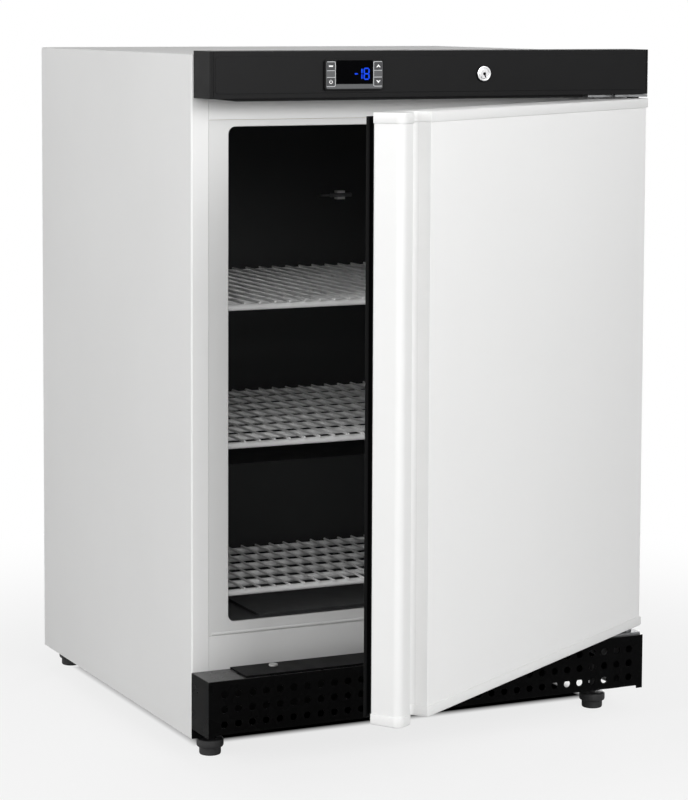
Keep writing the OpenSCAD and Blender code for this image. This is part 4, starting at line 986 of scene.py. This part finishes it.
# Compressor: welded steel pot with a black enamel coat, on rubber grommets bolted to the
# deck, with the plastic cover of its starter on the left side.
pot_black = coated("black pot enamel", (0.012, 0.012, 0.012), 0.28, 130, 0.00006, 0.15)
settle(rounded("compressor", pot_black, 0.0006), "compressor")
settle(rounded("compressor_grommets", rubber("grommet rubber", (0.03, 0.03, 0.03), 0.7),
               0.0005), "compressor_grommets")
settle(rounded("compressor_bolts", zinc_darkened_as_shade, 0.0003), "compressor_bolts")
settle(rounded("relay_cover", moulded("black starter cover", (0.018, 0.018, 0.019), 0.4),
               0.0015, 3), "relay_cover")


# Condenser: black steel tube to and fro down the back, with wires welded across it, on four
# small brackets. The run ends at the filter drier.
condenser_black = coated("black condenser enamel", (0.014, 0.014, 0.014), 0.35, 500, 0.00004,
                         0.12)
turn_x, riser_x, drier_x, run_y, drier_y = 220, 234, -30, 544, 500
top_z, foot_z, drier_z, runs = 800, 320, 110.5, 11
step = (top_z - foot_z) / (runs - 1)
loops = [(turn_x if (i + s) % 2 == 0 else -turn_x, run_y, top_z - step * i)
         for i in range(runs) for s in (0, 1)]
route = ([(riser_x, run_y, foot_z - 20), (riser_x, run_y, top_z)] + loops[1:-1]
         + [(-turn_x, run_y, foot_z), (-turn_x, run_y, drier_z), (drier_x, run_y, drier_z),
            (drier_x, drier_y, drier_z), (drier_x, drier_y, drier_z + 14)])
settle(wired_tube("condenser_made", [bent(in_row(route), 0.012)], condenser_black,
                  tube_diameter=0.005, tube_sides=14, wire_diameter=0.0018, wire_count=23,
                  first_wire=in_row([(-198, 547.3, 560)])[0], wire_pitch=(0.018, 0, 0),
                  wire_turn=(0, 0, 0), wire_length=0.496), "condenser")
settle(rounded("condenser_brackets", condenser_black, 0.0003), "condenser_brackets")


# Copper: filter drier and the discharge, suction and capillary tubes. Copper darkens by
# handling and brazing, so its tone and gloss are uneven.
def copper(name, rough):
    made, tree, inputs, place = blank(name)
    inputs["Metallic"].default_value = 1.0
    patches = noise(tree, place, 45, 6, 0.6)
    tree.links.new(two_tones(tree, patches, (0.30, 0.125, 0.06), (0.62, 0.30, 0.17)),
                   inputs["Base Color"])
    tree.links.new(spread(tree, patches, rough + 0.16, rough - 0.06), inputs["Roughness"])
    tree.links.new(relief(tree, noise(tree, place, 260, 2), 0.00002), inputs["Normal"])
    return made


tube_copper = copper("copper tube", 0.32)
for node in ("filter_drier", "discharge_tube", "suction_tube", "capillary_tube"):
    settle(rounded(node, tube_copper, 0.0003), node)


# Terminal box and control cable: grey plastic box with the gland of the mains cord, and the
# grey round cable that runs through the foam to the controller.
settle(rounded("terminal_box", moulded("grey terminal box", (0.22, 0.22, 0.225), 0.45),
               0.0012, 3), "terminal_box")
settle(rounded("control_cable", rubber("grey cable sheath", (0.16, 0.16, 0.165), 0.5),
               0.0003), "control_cable")


# Studio: a pale floor that turns into the white of the background further out, with a
# painted shadow under the cabinet, four soft lamps in front and at the left, one behind, and
# a faint sky.
def layered(tree, factor, first, second, target):
    node = tree.nodes.new("ShaderNodeMixShader")
    for given, socket in zip((factor, first, second), node.inputs):
        tree.links.new(given, socket)
    tree.links.new(node.outputs[0], tree.nodes[target].inputs["Surface"])


far = 14
floor_mesh = bpy.data.meshes.new("Floor")
floor_mesh.from_pydata([(-far, -far, 0), (far, -far, 0), (far, far, 0), (-far, far, 0)], [],
                       [(0, 1, 2, 3)])
floor = stand("Floor", floor_mesh)
floor_pale, tree, inputs, place = blank("pale floor")
floor_mesh.materials.append(floor_pale)
inputs["Roughness"].default_value = 0.9
inputs["Specular IOR Level"].default_value = 0.0
# Painted shadow: inside a box under the cabinet, the floor's colour and its white for the camera
# fall to black.
shadow_middle, shadow_half, shadow_fade = (0.0125, 0.18, 0), (0.2675, 0.2, 0), 0.02
aside = place
for operation, amount in (("SUBTRACT", shadow_middle), ("ABSOLUTE", None),
                          ("SUBTRACT", shadow_half)):
    step = tree.nodes.new("ShaderNodeVectorMath")
    step.operation = operation
    tree.links.new(aside, step.inputs[0])
    if amount:
        step.inputs[1].default_value = amount
    aside = step.outputs[0]
split = tree.nodes.new("ShaderNodeSeparateXYZ")
tree.links.new(aside, split.inputs[0])
unshadowed = spread(tree, combined(tree, "MAXIMUM", split.outputs["X"], split.outputs["Y"]),
                 0, 1, 0, shadow_fade)
shade = tree.nodes.new("ShaderNodeVectorMath")
shade.operation = "SCALE"
tree.links.new(two_tones(tree, noise(tree, place, 3, 3), (0.64, 0.64, 0.64), (0.66, 0.66, 0.66)),
               shade.inputs[0])
tree.links.new(unshadowed, shade.inputs["Scale"])
tree.links.new(shade.outputs[0], inputs["Base Color"])
reach = tree.nodes.new("ShaderNodeVectorMath")
reach.operation = "LENGTH"
tree.links.new(place, reach.inputs[0])
white_near, white_far, near_end, far_start = 0.79, 1.0, 0.35, 1.3
fade = spread(tree, reach.outputs["Value"], white_near, white_far, near_end, far_start)
fade.node.interpolation_type = "SMOOTHSTEP"
rays = tree.nodes.new("ShaderNodeLightPath").outputs
seen = combined(tree, "MULTIPLY", rays["Is Camera Ray"], fade)
white = tree.nodes.new("ShaderNodeEmission")
white.inputs["Color"].default_value = (1, 1, 1, 1)
layered(tree, combined(tree, "MULTIPLY", seen, unshadowed),
        tree.nodes["Principled BSDF"].outputs[0], white.outputs[0], "Material Output")
floor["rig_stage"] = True

sky = bpy.data.worlds.new("Studio")
bpy.context.scene.world = sky
sky.use_nodes = True
tree = sky.node_tree
light, backdrop = tree.nodes["Background"], tree.nodes.new("ShaderNodeBackground")
light.inputs["Strength"].default_value = 0.13
for glow in (light, backdrop):
    glow.inputs["Color"].default_value = (1, 1, 1, 1)
rays = tree.nodes.new("ShaderNodeLightPath").outputs
shown = combined(tree, "MAXIMUM", rays["Is Camera Ray"], rays["Is Glossy Ray"])
shown = combined(tree, "MAXIMUM", shown, rays["Is Transmission Ray"])
layered(tree, shown, light.outputs[0], backdrop.outputs[0], "World Output")
for name, spot, aim, size, power in (
        ("Key lamp", (-1.6, -3.2, 2.0), (0, 0, 0.6), 2.0, 29.5),
        ("Left lamp", (-3.0, -0.6, 1.5), (0, 0.1, 0.45), 1.8, 52),
        ("Front lamp", (0.2, -3.4, 1.5), (0, 0, 0.7), 1.2, 40),
        ("Right lamp", (0.5, -2.3, 1.7), (0, -0.1, 0.75), 1.0, 18.5),
        ("Rear lamp", (2.4, 2.4, 0.45), (0.1, 0.3, 0.45), 0.8, 42)):
    lamp = bpy.data.lights.new(name, "AREA")
    lamp.size = size
    lamp.energy = power
    towards = (Vector(aim) - Vector(spot)).to_track_quat("-Z", "Y")
    stand(name, lamp).matrix_world = Matrix.Translation(spot) @ towards.to_matrix().to_4x4()
bpy.context.scene.view_settings.view_transform = "Standard"

bpy.context.view_layer.update()
low, high = (list(corner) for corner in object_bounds())
